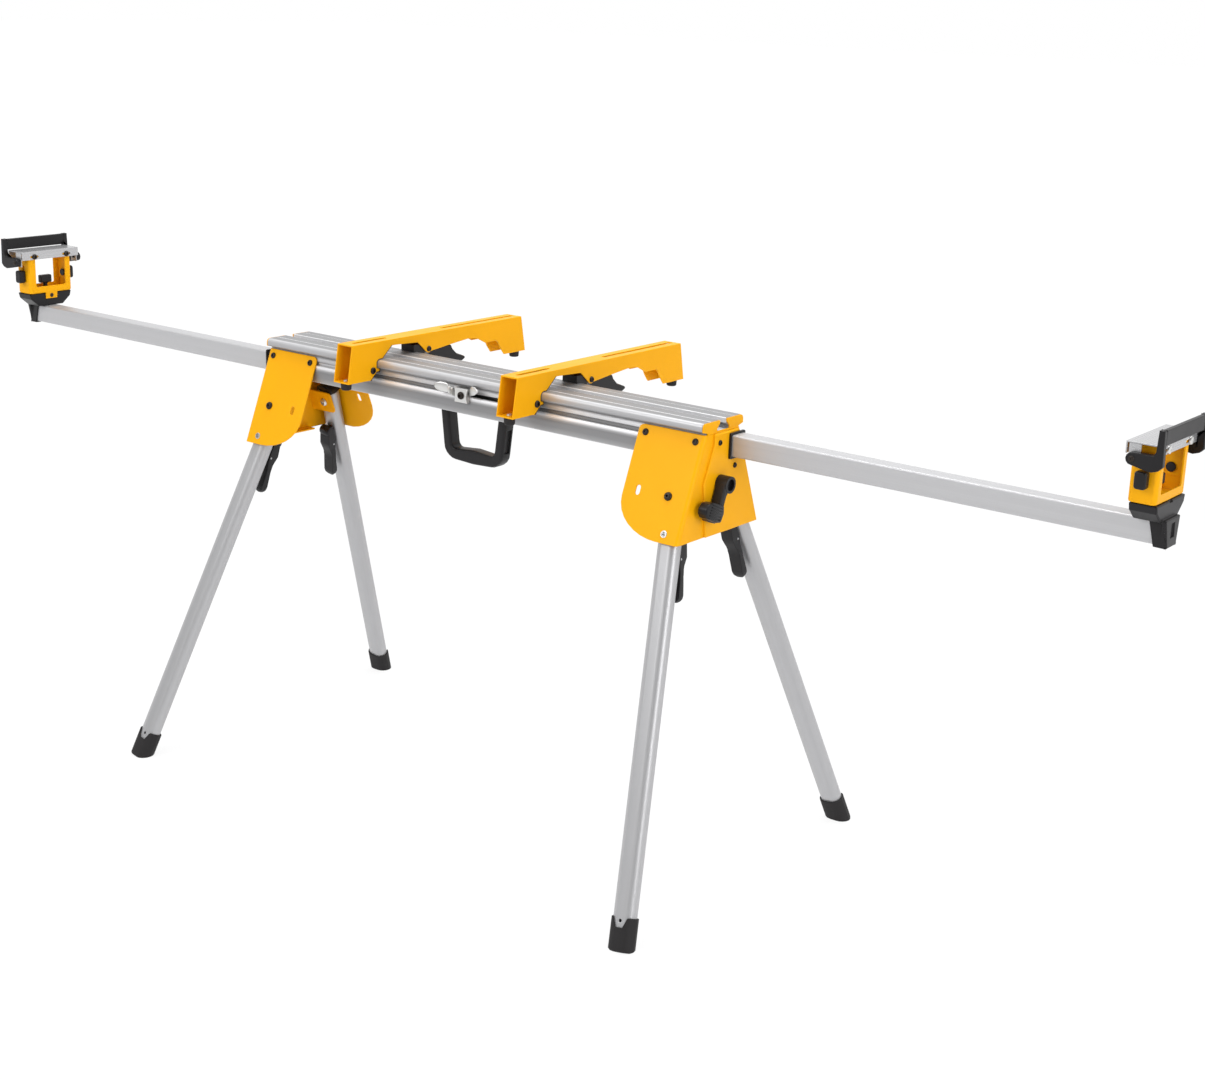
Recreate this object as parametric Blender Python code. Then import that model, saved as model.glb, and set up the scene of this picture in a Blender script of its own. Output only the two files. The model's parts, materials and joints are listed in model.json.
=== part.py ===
"""Folding miter saw stand: an aluminium beam on four folding legs, with two saw arms and two
pull-out arms that carry material supports. Metres, +Z up, the beam runs along X, the front is -Y.

The stand's two ends are the same parts turned half round the middle, so every end piece is
modelled at the right end (+X) and turned for the left one. Across the beam, "outward" is away
from its middle plane.
"""
import math

import bmesh
import bpy
from mathutils import Matrix, Vector

# Driving dimensions
BEAM_TOP = 0.789
BEAM_LENGTH = 1.016
BEAM_DEPTH = 0.0665
HEAD_HALF_WIDTH = 0.057
SHEET = 0.003
GAP = 0.0003
OVERRUN = 0.010
LEG_SPLAY = math.radians(21.3)
LEG_SPREAD = math.radians(9.3)
LEG_FOLD_TOE = math.radians(2.08)
SUPPORT_OUT = 0.716
ARM_PLACES = {"left": -0.234, "right": 0.153}
ROUND_SIDES = 16
SMALL_SIDES = 12
ROUND_PROFILE_SHARE = 0.5

# Beam section, heights measured down from its top
SLOT_HALF = 0.010
SLOT_DEEP_HALF = 0.0172
SLOT_NECK = 0.0055
SLOT_SHELF = 0.0135
SLOT_FLOOR = 0.0175
HEAD_CORNER = 0.0075
HEAD_DEPTH = 0.0145
GROOVE_INNER = 0.0445
GROOVE_DEPTH = 0.0175
BODY_TOP = 0.0205
BODY_TOP_HALF = 0.0467
BODY_KNEE = 0.0437
SIDE_SLOT_TOP = 0.028
SIDE_SLOT_LOW = 0.0345
LINE_PLACE = 0.034
LINE_HALF = 0.0004
CHAMBER_HALF = 0.0105
CHAMBER_TOP = 0.0235

# Extension tube and the channel that it runs in
TUBE_WIDTH = 0.034
TUBE_HEIGHT = 0.036
TUBE_INNER_FACE = 0.0135
TUBE_TOP = 0.028
TUBE_WALL = 0.002
TUBE_CORNER = 0.003
TUBE_HELD = 0.242
TUBE_END_INSET = 0.0225
CHANNEL_CLEARANCE = 0.0006

# Bracket: an end plate and two leaning side plates
PLATE_TOP = 0.020
PLATE_TOP_HALF = 0.0500
PLATE_BOTTOM = 0.191
PLATE_REACH = 0.1305
PLATE_TOP_CORNER = 0.008
PLATE_LOW_CORNER_REACH = 0.042
PLATE_LOW_CORNER_RISE = 0.062
PLATE_STEP = 0.0005
TAB_STEP = 0.0001
TAB_SINK = 0.006
FOLD_RADIUS = 0.0075
FOLD_STEPS = 5
HEAD_TAB_SHRINK = 0.0004
PAN_RISE = 0.005
PAN_TOP_FRONT = -0.0285
PAN_KNEE_DROP = 0.037
PAN_LOW_FRONT = -0.0545
PAN_LOW_DROP = 0.099
PAN_FOOT_FRONT = -0.050
PAN_FOOT_DROP = 0.136
PAN_EDGE = 0.0092
INNER_TAB_REACH = 0.062
INNER_TAB_HALF = 0.022
FLANGE_REACH = 0.020
FLANGE_HALF = 0.044

# Leg pivots, lock pins and their holes
PIVOT_INSET = 0.0405
PIVOT_DROP = 0.1201
LEG_INSET = 0.021
LOCK_RADIUS = 0.0615
LOCK_HOLE = 0.0046
FOLD_HOLE_HALF = 0.0085
PIVOT_BOLT = 0.005
PIVOT_HEAD = 0.0065
PIVOT_HEAD_RISE = 0.0035
NUT_RADIUS = 0.0085
NUT_HEIGHT = 0.005
SCREW_HEAD = 0.0052
SCREW_RISE = 0.0025
SCREW_SOCKET = 0.0026
SCREW_SOCKET_DEPTH = 0.0014
SCREW_CROWN_SHARE = 0.72
SCREW_INSET = 0.0161
SCREW_FAR_INSET = 0.0148
SCREW_DROP = 0.0317
END_BOLTS = ((-0.0155, 0.036), (0.0300, 0.081))
END_BOLT_HEAD = 0.0040

# Legs, measured along the leg from its pivot
LEG_WIDTH = 0.040
LEG_THICK = 0.028
LEG_WALL = 0.002
LEG_TOP = 0.018
PLUG_CORE = 0.030
PLUG_REACH = 0.033
PLUG_SIDE_REACH = 0.0266
FOOT_LENGTH = 0.049
FOOT_WALL = 0.003
FOOT_SOLE = 0.008
FOOT_ROUND = 0.011
FOOT_NOTCH_DEPTH = 0.016
FOOT_NOTCH_TOP = 0.0145
FOOT_NOTCH_LOW = 0.0065
FOOT_HOLE = 0.0028
LUG_PLACE = 0.095
LUG_HALF = 0.007
LUG_RISE = 0.013
LUG_WIDTH = 0.007
LEVER_PIN = 0.002
LEVER_PIN_RISE = 0.009
LEVER_WIDTH = 0.024
LEVER_TOP = 0.059
LEVER_END = 0.166
LEVER_WAIST = 0.0015
LEVER_EDGE = 0.002
LEVER_SLOT = 0.009
LOCK_PIN = 0.0035
PIN_HOLE_CLEARANCE = 0.0004
PIN_HEAD = 0.0055
PIN_HEAD_HEIGHT = 0.002
PIN_HEAD_PLACE = 0.0185
PIN_PASS = 0.0052

# Cam lever on the end plate
CAM_Y = -0.011
CAM_DROP = 0.1035
CAM_RADIUS = 0.0142
CAM_LENGTH = 0.022
CAM_RECESS = 0.0098
CAM_RECESS_DEPTH = 0.006
CAM_LEAN = math.radians(21.0)
CAM_ARM_LENGTH = 0.064
CAM_ARM_THICK = 0.011
CAM_ARM_TOP_WIDTH = 0.022
CAM_PAD_LENGTH = 0.026
CAM_PAD_FRONT = 0.024
CAM_PAD_REAR = 0.004
CAM_PAD_THICK = 0.014
CAM_RIB_COUNT = 5
CAM_RIB_PITCH = 0.0042
CAM_RIB_WIDTH = 0.0018
CAM_RIB_DEPTH = 0.0012

# Tube collar
COLLAR_WALL = 0.0014
COLLAR_LIP = 0.0038
COLLAR_LIP_THICK = 0.004
COLLAR_CORNER = 0.003

# End bracket of the extension tube
HEAD_BLOCK_HALF = 0.0185
HEAD_BLOCK_OUT = 0.0235
HEAD_WING_HEIGHT = 0.0115
HEAD_WING_TAPER = 0.003
HEAD_NECK_HALF = 0.030
HEAD_BLOCK_EDGE = 0.0015
CAP_OUT = 0.031
CAP_WEDGE_HALF = 0.0265
CAP_WEDGE_LOW_HALF = 0.0170
CAP_WALL = 0.0022
CAP_TOP_REACH = 0.001
CAP_LOW_REACH = 0.011
CAP_BOTTOM_WALL = 0.0025
POCKET_HALF = 0.0065
POCKET_TOP = 0.032
POCKET_LOW = 0.053
POCKET_DEPTH = 0.002
HEAD_NOTCH_HALF = 0.005
HEAD_NOTCH_DEPTH = 0.003

# Material support, heights measured up from the beam's top
FRAME_HALF_DEPTH = 0.0212
FRAME_HALF_WIDTH = 0.0525
FRAME_HEIGHT = 0.0722
FRAME_EDGE = 0.0065
WINDOW_EDGE = 0.003
FRAME_FOOT_EDGE = 0.0028
WINDOW_HALF = 0.037
WINDOW_BOTTOM = 0.014
HEIGHT_SLOT_HALF = 0.0038
HEIGHT_SLOT_LOW = 0.0310
HEIGHT_SLOT_HIGH = 0.0600
FRAME_CLIP_HALF = 0.014
FRAME_CLIP_DROP = 0.0125
TOP_PLATE = 0.002
TOP_HEIGHT = 0.090
TOP_HALF_DEPTH = 0.0235
TOP_OVERHANG = 0.0175
TOP_FLANGE = 0.0175
TOP_SLOT_INSET = 0.030
TOP_SLOT_HALF = 0.010
TOP_SLOT_RADIUS = 0.0024
TOP_SLOT_HEIGHT = 0.0785
CARRIER_FLANGE = 0.0125
CARRIER_LEG_LOW = 0.024
CARRIER_HOLE = 0.0034
KNOB_HEIGHT = 0.036
KNOB_HALF_WIDTH = 0.009
KNOB_HALF_HEIGHT = 0.013
KNOB_THICK = 0.0145
KNOB_STEM = 0.003
KNOB_NUT = 0.0075
KNOB_NUT_THICK = 0.0035
SWIVEL_LOW = 0.026
SWIVEL_HIGH = 0.0425
SWIVEL_HALF_WIDTH = 0.015
SWIVEL_HALF_DEPTH = 0.006
SWIVEL_STEM = 0.005

# Flip stop on the material support
STOP_PIVOT_X = -0.010
STOP_PIVOT_HEIGHT = 0.068
STOP_BOSS = 0.009
STOP_PIN = 0.0025
STOP_SIDE = 0.010
STOP_BACK = 0.0238
STOP_FRONT = 0.035
STOP_TOP = 0.1135
STOP_TAPER = 0.0015
STOP_FENCE_LOW = 0.0908
STOP_ARM_LOW = 0.0535
STOP_EAR_HALF = 0.0088
STOP_BEND_SHARES = (0.40, 0.65, 0.86)
STOP_NECK = 0.0144

# Saw arm, heights measured up from the beam's top
ARM_WIDTH = 0.0375
ARM_SHEET = 0.0025
ARM_FRONT = -0.130
ARM_REAR = 0.358
ARM_TOP = 0.0330
ARM_LOW = -0.0360
ARM_FOOT_REAR = -0.073
HOOK_LOW = -0.0215
HOOK_LIP = -0.0500
ARCH_START = -0.043
ARM_ARCH = ((-0.018, 0.0215), (-0.008, 0.0215), (0.050, 0.0185))
ARM_UNDERSIDE = ((0.134, 0.003), (0.188, 0.008), (0.205, 0.0075), (0.216, 0.005), (0.2385, -0.006),
                 (0.272, -0.006), (0.278, -0.012), (0.2845, -0.023))
ARM_FOOT_START = 0.295
ARM_FRONT_LEAN = 0.011
ARM_REAR_LEAN = 0.013
EAR_Y = 0.0795
EAR_Z = 0.003
EAR_RADIUS = 0.0075
ARM_SLOT_HALF = 0.004
ARM_SLOTS = ((-0.100, -0.015), (0.133, 0.339))
FRONT_BOLT_Y = -0.0675
FRONT_BOLT_Z = -0.0185
ARM_BOLT = 0.003
ARM_BOLT_HEAD = 0.0058
ARM_BOLT_RISE = 0.003
BUMPER_RADIUS = 0.0100
BUMPER_HEIGHT = 0.0135
BUMPER_TAPER_SHARE = 0.92
BUMPER_PLACES = {"front": -0.1165, "rear": 0.3465}
BUMPER_BEVEL = 0.0015
JAW_TOP = 0.0137
JAW_REAR = 0.0705
JAW_LOW = -0.0215
CLAMP_WIDTH = 0.020
CLAMP_REACH = 0.113
CLAMP_DROP = 0.034

# Carry handle and centre clip
HANDLE_X = -0.022
HANDLE_TOP_HALF = 0.075
HANDLE_LOW_HALF = 0.0675
HANDLE_LIMB = 0.016
HANDLE_DROP = 0.1025
HANDLE_GRIP = 0.023
HANDLE_ARCH = 0.0035
HANDLE_HALF_DEPTH = 0.0135
HANDLE_CORNER = 0.026
HANDLE_INNER_CORNER = 0.011
HANDLE_SAG = 0.002
HANDLE_EDGE = 0.0048
CLIP_X = -0.006
CLIP_HALF = 0.018
CLIP_TOP = 0.019
CLIP_LOW = 0.046
CLIP_FRONT = 0.0625
CLIP_WAIST = 0.004
WING_FRONT = 0.0615
WING_BACK = 0.0578
LEFT_WING = (-0.0625, -0.0325, 0.012, 0.030)
RIGHT_WING = (0.0205, 0.0445, 0.009, 0.027)
CLIP_BOLT = 0.0055
CLIP_BOLT_RISE = 0.004

# Values that follow from the ones above
BEAM_HALF = BEAM_LENGTH / 2 - SHEET
END_FACE = BEAM_LENGTH / 2
SUPPORT_REACH = END_FACE + SUPPORT_OUT
TUBE_INNER_END = END_FACE - TUBE_HELD
PLATE_INNER_X = END_FACE - PLATE_REACH
PLATE_LOW_CORNER_X = END_FACE - PLATE_LOW_CORNER_REACH
PIVOT_X = END_FACE - PIVOT_INSET
SCREW_XS = (END_FACE - SCREW_INSET, PLATE_INNER_X + SCREW_FAR_INSET)
TOP_HALF_LENGTH = FRAME_HALF_WIDTH + TOP_OVERHANG
STOP_HALF_LENGTH = TOP_HALF_LENGTH + STOP_SIDE
HEAD_BLOCK_TOP_WIDTH = FRAME_HALF_WIDTH - PLATE_STEP
TOP_SLOT_Y = TOP_HALF_LENGTH - TOP_SLOT_INSET
PAN_FACE = END_FACE + PAN_RISE
LEAN = math.tan(LEG_SPLAY)
BODY_KNEE_HALF = BODY_TOP_HALF + (BODY_KNEE - BODY_TOP) * LEAN
TUBE_Y = TUBE_INNER_FACE + TUBE_WIDTH / 2
TUBE_LOW = TUBE_TOP + TUBE_HEIGHT
TUBE_END = SUPPORT_REACH + TUBE_END_INSET
PLATE_LENGTH = (PLATE_BOTTOM - PLATE_TOP) / math.cos(LEG_SPLAY)
LEG_PIVOT_Y = PLATE_TOP_HALF + (PIVOT_DROP - PLATE_TOP) * LEAN - LEG_INSET * math.cos(LEG_SPLAY)
LEG_PIVOT_Z = BEAM_TOP - PIVOT_DROP - LEG_INSET * math.sin(LEG_SPLAY)
LEG_LENGTH = LEG_PIVOT_Z / (math.cos(LEG_SPLAY) * math.cos(LEG_SPREAD))
# A folded leg leans by the toe, so its bore is wider and its lock pin shorter by that much
PIVOT_BORE = PIVOT_BOLT + GAP + GAP / 2 + LEG_THICK / 2 * math.tan(LEG_FOLD_TOE)
PIN_TIP_SHORT = (LOCK_RADIUS + LOCK_PIN) * math.sin(LEG_FOLD_TOE)


def material(name, colour, roughness, metallic):
    """One plain Principled BSDF."""
    made = bpy.data.materials.new(name)
    made.use_nodes = True
    shader = made.node_tree.nodes["Principled BSDF"]
    shader.inputs["Base Color"].default_value = (*colour, 1.0)
    shader.inputs["Roughness"].default_value = roughness
    shader.inputs["Metallic"].default_value = metallic
    return made


def start():
    """An empty scene with one collection for the stand and one for its cutters."""
    for old in list(bpy.data.objects):
        bpy.data.objects.remove(old, do_unlink=True)
    collections = {}
    for name in ("miter_saw_stand", "cutters"):
        collections[name] = bpy.data.collections.new(name)
        bpy.context.scene.collection.children.link(collections[name])
    collections["cutters"].hide_render = True
    finishes = {
        "bright": material("bright_aluminium", (0.72, 0.72, 0.73), 0.32, 1.0),
        "yellow": material("yellow_paint", (0.95, 0.52, 0.02), 0.38, 0.0),
        "black": material("black_plastic", (0.030, 0.030, 0.032), 0.50, 0.0),
        "rubber": material("black_rubber", (0.022, 0.022, 0.023), 0.80, 0.0),
        "zinc": material("zinc_steel", (0.70, 0.70, 0.70), 0.35, 1.0),
        "dark": material("dark_steel", (0.045, 0.040, 0.045), 0.42, 1.0),
    }
    return collections, finishes


COLLECTIONS, FINISHES = start()


def mesh_object(name, bm, cutter=False):
    """A mesh object from a bmesh, in the stand's collection or among the cutters."""
    mesh = bpy.data.meshes.new(name)
    bm.to_mesh(mesh)
    bm.free()
    made = bpy.data.objects.new(name, mesh)
    COLLECTIONS["cutters" if cutter else "miter_saw_stand"].objects.link(made)
    if cutter:
        made.hide_render = True
        made.display_type = "WIRE"
    return made


def box(low, high):
    """A box between two corners, as a cutter or a piece to join."""
    bm = bmesh.new()
    size = Vector(high) - Vector(low)
    middle = (Vector(high) + Vector(low)) / 2
    bmesh.ops.create_cube(bm, size=1.0, matrix=Matrix.Translation(middle) @ Matrix.Diagonal((*size, 1.0)))
    return mesh_object("box", bm, cutter=True)


def taper_box(low_x, low_y, low_z, high_x, high_y, high_z):
    """A box whose bottom and top are unlike rectangles, each given by its x and y pair."""
    bm = bmesh.new()
    bmesh.ops.create_cube(bm, size=1.0)
    for vert in bm.verts:
        top = vert.co.z > 0
        x_pair, y_pair, z = (high_x, high_y, high_z) if top else (low_x, low_y, low_z)
        vert.co = Vector((x_pair[vert.co.x > 0], y_pair[vert.co.y > 0], z))
    return mesh_object("taper_box", bm, cutter=True)


def cylinder(start_point, end_point, radius, end_radius=None, sides=ROUND_SIDES):
    """A closed cylinder or cone between two points."""
    start_point, end_point = Vector(start_point), Vector(end_point)
    line = end_point - start_point
    turn = line.to_track_quat("Z", "Y").to_matrix().to_4x4()
    place = Matrix.Translation((start_point + end_point) / 2) @ turn
    bm = bmesh.new()
    bmesh.ops.create_cone(bm, cap_ends=True, cap_tris=False, segments=sides, radius1=radius,
                          radius2=radius if end_radius is None else end_radius, depth=line.length,
                          matrix=place)
    return mesh_object("cylinder", bm, cutter=True)


def arc(centre, radius, first, last, steps):
    """Points of an arc from the first to the last angle, in degrees."""
    points = []
    for index in range(steps + 1):
        angle = math.radians(first + (last - first) * index / steps)
        points.append((centre[0] + radius * math.cos(angle), centre[1] + radius * math.sin(angle)))
    return points


def rounded(half_width, half_height, radius, steps=3, centre=(0.0, 0.0)):
    """A rectangle with round corners."""
    points = []
    for quarter, (side, rise) in enumerate(((1, 1), (-1, 1), (-1, -1), (1, -1))):
        corner = (centre[0] + side * (half_width - radius), centre[1] + rise * (half_height - radius))
        points += arc(corner, radius, 90 * quarter, 90 * quarter + 90, steps)
    return points


def frame_matrix(origin, first, second):
    """A place whose x and y run along two directions, with z square to both."""
    first = Vector(first).normalized()
    second = Vector(second).normalized()
    third = first.cross(second).normalized()
    made = Matrix((first, second, third)).transposed().to_4x4()
    return Matrix.Translation(origin) @ made


def face_out(bm):
    """Turns a closed mesh's faces outward."""
    bmesh.ops.recalc_face_normals(bm, faces=bm.faces)
    if bm.calc_volume(signed=True) < 0.0:
        bmesh.ops.reverse_faces(bm, faces=bm.faces)


def prism(outline, thickness, place, holes=()):
    """A flat outline, with holes, made solid evenly to both sides of its plane."""
    curve = bpy.data.curves.new("outline", "CURVE")
    curve.dimensions = "2D"
    curve.fill_mode = "BOTH"
    curve.extrude = thickness / 2
    for ring in (outline, *holes):
        spline = curve.splines.new("POLY")
        spline.points.add(len(ring) - 1)
        for point, (x, y) in zip(spline.points, ring):
            point.co = (x, y, 0.0, 1.0)
        spline.use_cyclic_u = True
    holder = bpy.data.objects.new("outline", curve)
    COLLECTIONS["cutters"].objects.link(holder)
    holder.matrix_world = place
    graph = bpy.context.evaluated_depsgraph_get()
    mesh = bpy.data.meshes.new_from_object(holder.evaluated_get(graph))
    bm = bmesh.new()
    bm.from_mesh(mesh)
    bmesh.ops.remove_doubles(bm, verts=bm.verts, dist=GAP / 30)
    bm.transform(place)
    face_out(bm)
    bpy.data.objects.remove(holder, do_unlink=True)
    bpy.data.curves.remove(curve)
    bpy.data.meshes.remove(mesh)
    return mesh_object("prism", bm, cutter=True)


def across(outline, y_low, y_high, holes=()):
    """A prism with its outline in X and Z, between two places along Y."""
    place = frame_matrix((0.0, (y_low + y_high) / 2, 0.0), (1, 0, 0), (0, 0, 1))
    return prism(outline, y_high - y_low, place, holes)


def along(outline, x_low, x_high, holes=()):
    """A prism with its outline in Y and Z, between two places along X."""
    place = frame_matrix(((x_low + x_high) / 2, 0.0, 0.0), (0, 1, 0), (0, 0, 1))
    return prism(outline, x_high - x_low, place, holes)


def bevel(piece, width, segments=1, angle=40.0):
    """Rounds the edges that are sharper than an angle."""
    bm = bmesh.new()
    bm.from_mesh(piece.data)
    bmesh.ops.dissolve_limit(bm, angle_limit=math.radians(1.0), verts=bm.verts, edges=bm.edges)
    edges = [edge for edge in bm.edges if edge.calc_face_angle(0.0) > math.radians(angle)]
    bmesh.ops.bevel(bm, geom=edges, offset=width, segments=segments, profile=ROUND_PROFILE_SHARE,
                    affect="EDGES",
                    material=-1, clamp_overlap=True)
    bm.to_mesh(piece.data)
    bm.free()
    return piece


def combine(piece, tools, operation):
    """Joins tools to a piece, or cuts them out of it, and removes them."""
    for tool in tools:
        step = piece.modifiers.new(operation.lower(), "BOOLEAN")
        step.operation = operation
        step.object = tool
        step.solver = "EXACT"
    graph = bpy.context.evaluated_depsgraph_get()
    mesh = bpy.data.meshes.new_from_object(piece.evaluated_get(graph))
    piece.modifiers.clear()
    piece.data = mesh
    for tool in tools:
        bpy.data.objects.remove(tool, do_unlink=True)
    return piece


def join(piece, *tools):
    return combine(piece, tools, "UNION")


def cut(piece, *tools):
    return combine(piece, tools, "DIFFERENCE")


def finish(piece, name, finish_name, origin=(0.0, 0.0, 0.0)):
    """Names a piece, gives it its material and moves its origin to its joint's axis."""
    piece.name = name
    piece.data.name = name
    piece.data.transform(Matrix.Translation(-Vector(origin)))
    piece.location = origin
    piece.data.materials.clear()
    piece.data.materials.append(FINISHES[finish_name])
    piece.data.shade_smooth()
    piece.data.set_sharp_from_angle(angle=math.radians(32.0))
    COLLECTIONS["cutters"].objects.unlink(piece)
    COLLECTIONS["miter_saw_stand"].objects.link(piece)
    piece.hide_render = False
    piece.display_type = "TEXTURED"
    return piece


def turned(piece, name):
    """The left end's copy of a right end piece, turned half round the middle."""
    copy = bpy.data.objects.new(name, piece.data)
    COLLECTIONS["miter_saw_stand"].objects.link(copy)
    copy.matrix_world = Matrix.Rotation(math.pi, 4, "Z") @ Matrix.Translation(piece.location)
    return copy


def pair(piece, name, finish_name, origin=(0.0, 0.0, 0.0)):
    """A right end piece and its turned copy at the left end."""
    turned(finish(piece, name + "_right", finish_name, origin), name + "_left")


def height(drop):
    """World height of a place measured down from the beam's top."""
    return BEAM_TOP - drop


def beam():
    """The extruded beam: two heads, a centre slot, and a channel for each extension tube."""
    channel_in = TUBE_INNER_FACE - CHANNEL_CLEARANCE
    channel_out = TUBE_INNER_FACE + TUBE_WIDTH + CHANNEL_CLEARANCE
    channel_top = TUBE_TOP - CHANNEL_CLEARANCE
    channel_low = TUBE_LOW + CHANNEL_CLEARANCE
    half = [(SLOT_DEEP_HALF, SLOT_FLOOR), (SLOT_DEEP_HALF, SLOT_SHELF), (SLOT_HALF, SLOT_NECK),
            (SLOT_HALF, 0.0),
            (LINE_PLACE - LINE_HALF, 0.0), (LINE_PLACE, LINE_HALF), (LINE_PLACE + LINE_HALF, 0.0)]
    for y, z in arc((HEAD_HALF_WIDTH - HEAD_CORNER, -HEAD_CORNER), HEAD_CORNER, 90, 0, 5):
        half.append((y, -z))
    half += [(HEAD_HALF_WIDTH, HEAD_DEPTH), (GROOVE_INNER, GROOVE_DEPTH), (BODY_TOP_HALF, BODY_TOP),
             (BODY_TOP_HALF + (SIDE_SLOT_TOP - BODY_TOP) * LEAN, SIDE_SLOT_TOP),
             (channel_out, SIDE_SLOT_TOP),
             (channel_out, channel_top), (channel_in, channel_top), (channel_in, channel_low),
             (channel_out, channel_low), (channel_out, SIDE_SLOT_LOW),
             (BODY_TOP_HALF + (SIDE_SLOT_LOW - BODY_TOP) * LEAN, SIDE_SLOT_LOW),
             (BODY_KNEE_HALF, BODY_KNEE), (BODY_KNEE_HALF, BEAM_DEPTH)]
    outline = [(y, height(drop)) for y, drop in half]
    outline += [(-y, height(drop)) for y, drop in reversed(half)]
    chamber = [(y, height(drop)) for y, drop in ((-CHAMBER_HALF, CHAMBER_TOP), (CHAMBER_HALF, CHAMBER_TOP),
                                                 (CHAMBER_HALF, channel_low), (-CHAMBER_HALF, channel_low))]
    finish(along(outline, -BEAM_HALF, BEAM_HALF, [chamber]), "beam", "bright")


def plate_frame(side, inset=0.0):
    """Place of a side plate's outer face: x along the beam, y up the plate, z square to it."""
    outward = Vector((0.0, side * math.cos(LEG_SPLAY), math.sin(LEG_SPLAY)))
    up = Vector((0.0, -side * math.sin(LEG_SPLAY), math.cos(LEG_SPLAY)))
    top = Vector((0.0, side * PLATE_TOP_HALF, height(PLATE_TOP)))
    return frame_matrix(top - outward * inset, (1, 0, 0), up), outward, up


def on_plate(side, x, drop, rise=0.0):
    """A point on a side plate's outer face, or above it."""
    _, outward, _ = plate_frame(side)
    point = Vector((x, side * (PLATE_TOP_HALF + (drop - PLATE_TOP) * LEAN), height(drop)))
    return point + outward * rise


def down_plate(drop):
    """How far below the plate's top edge, along the plate, a drop from the beam's top lies."""
    return (drop - PLATE_TOP) / math.cos(LEG_SPLAY)


def plate_half(drop):
    """Half the width over the side plates' outer faces at a drop from the beam's top."""
    return PLATE_TOP_HALF + (drop - PLATE_TOP) * LEAN


def leaning_block(drop_top, drop_low, inset, x_low, x_high):
    """A block between the two leaning plates, inset from their outer faces."""
    reach = inset / math.cos(LEG_SPLAY)
    corners = [(plate_half(drop) - reach, height(drop)) for drop in (drop_top, drop_low)]
    return along(corners + [(-y, z) for y, z in reversed(corners)], x_low, x_high)


def folded_sheet():
    """Two leaning side plates and the end plate's body, bent from one sheet with round folds."""
    outer = leaning_block(PLATE_TOP, PLATE_BOTTOM, 0.0, PLATE_INNER_X, END_FACE)
    bm = bmesh.new()
    bm.from_mesh(outer.data)
    bmesh.ops.dissolve_limit(bm, angle_limit=math.radians(1.0), verts=bm.verts, edges=bm.edges)
    folds = [edge for edge in bm.edges if min(vert.co.x for vert in edge.verts) > END_FACE - GAP
             and abs(edge.verts[0].co.z - edge.verts[1].co.z) > SHEET]
    bmesh.ops.bevel(bm, geom=folds, offset=FOLD_RADIUS, segments=FOLD_STEPS, profile=ROUND_PROFILE_SHARE,
                    affect="EDGES", material=-1)
    bm.to_mesh(outer.data)
    bm.free()
    inner = leaning_block(PLATE_TOP - OVERRUN, PLATE_BOTTOM + OVERRUN, SHEET, PLATE_INNER_X - OVERRUN,
                          BEAM_HALF + GAP)
    return cut(outer, inner)


def plate_cutters(side):
    """Cutters square through a side plate: its round inner corners, its holes and its fold slot."""
    low_x, rise, run = PLATE_LOW_CORNER_X, PLATE_LOW_CORNER_RISE, PLATE_LOW_CORNER_X - PLATE_INNER_X
    low_corner = [(PLATE_INNER_X - OVERRUN, -PLATE_LENGTH - OVERRUN), (low_x, -PLATE_LENGTH - OVERRUN)]
    low_corner += [(low_x + run * x, -PLATE_LENGTH + rise * (1 + y))
                   for x, y in arc((0.0, 0.0), 1.0, 270, 180, 8)]
    low_corner += [(PLATE_INNER_X - OVERRUN, -PLATE_LENGTH + rise)]
    top = PLATE_TOP_CORNER
    top_corner = [(PLATE_INNER_X - OVERRUN, OVERRUN), (PLATE_INNER_X - OVERRUN, -top)]
    top_corner += arc((PLATE_INNER_X + top, -top), top, 180, 90, 3)
    top_corner += [(PLATE_INNER_X + top, OVERRUN)]
    pivot = (PIVOT_X, -down_plate(PIVOT_DROP))
    lock = (pivot[0] + LOCK_RADIUS * math.sin(LEG_SPREAD), pivot[1] - LOCK_RADIUS * math.cos(LEG_SPREAD))
    fold = (pivot[0] - LOCK_RADIUS, pivot[1])
    outlines = [low_corner, top_corner,
                arc(pivot, PIVOT_BOLT + GAP, 0, 360 - 360 / SMALL_SIDES, SMALL_SIDES - 1),
                arc(lock, LOCK_HOLE, 0, 360 - 360 / SMALL_SIDES, SMALL_SIDES - 1),
                rounded(LOCK_HOLE, FOLD_HOLE_HALF, LOCK_HOLE - GAP, 3, fold)]
    place, _, _ = plate_frame(side, SHEET / 2)
    return [prism(outline, 2 * SHEET, place) for outline in outlines]


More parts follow.
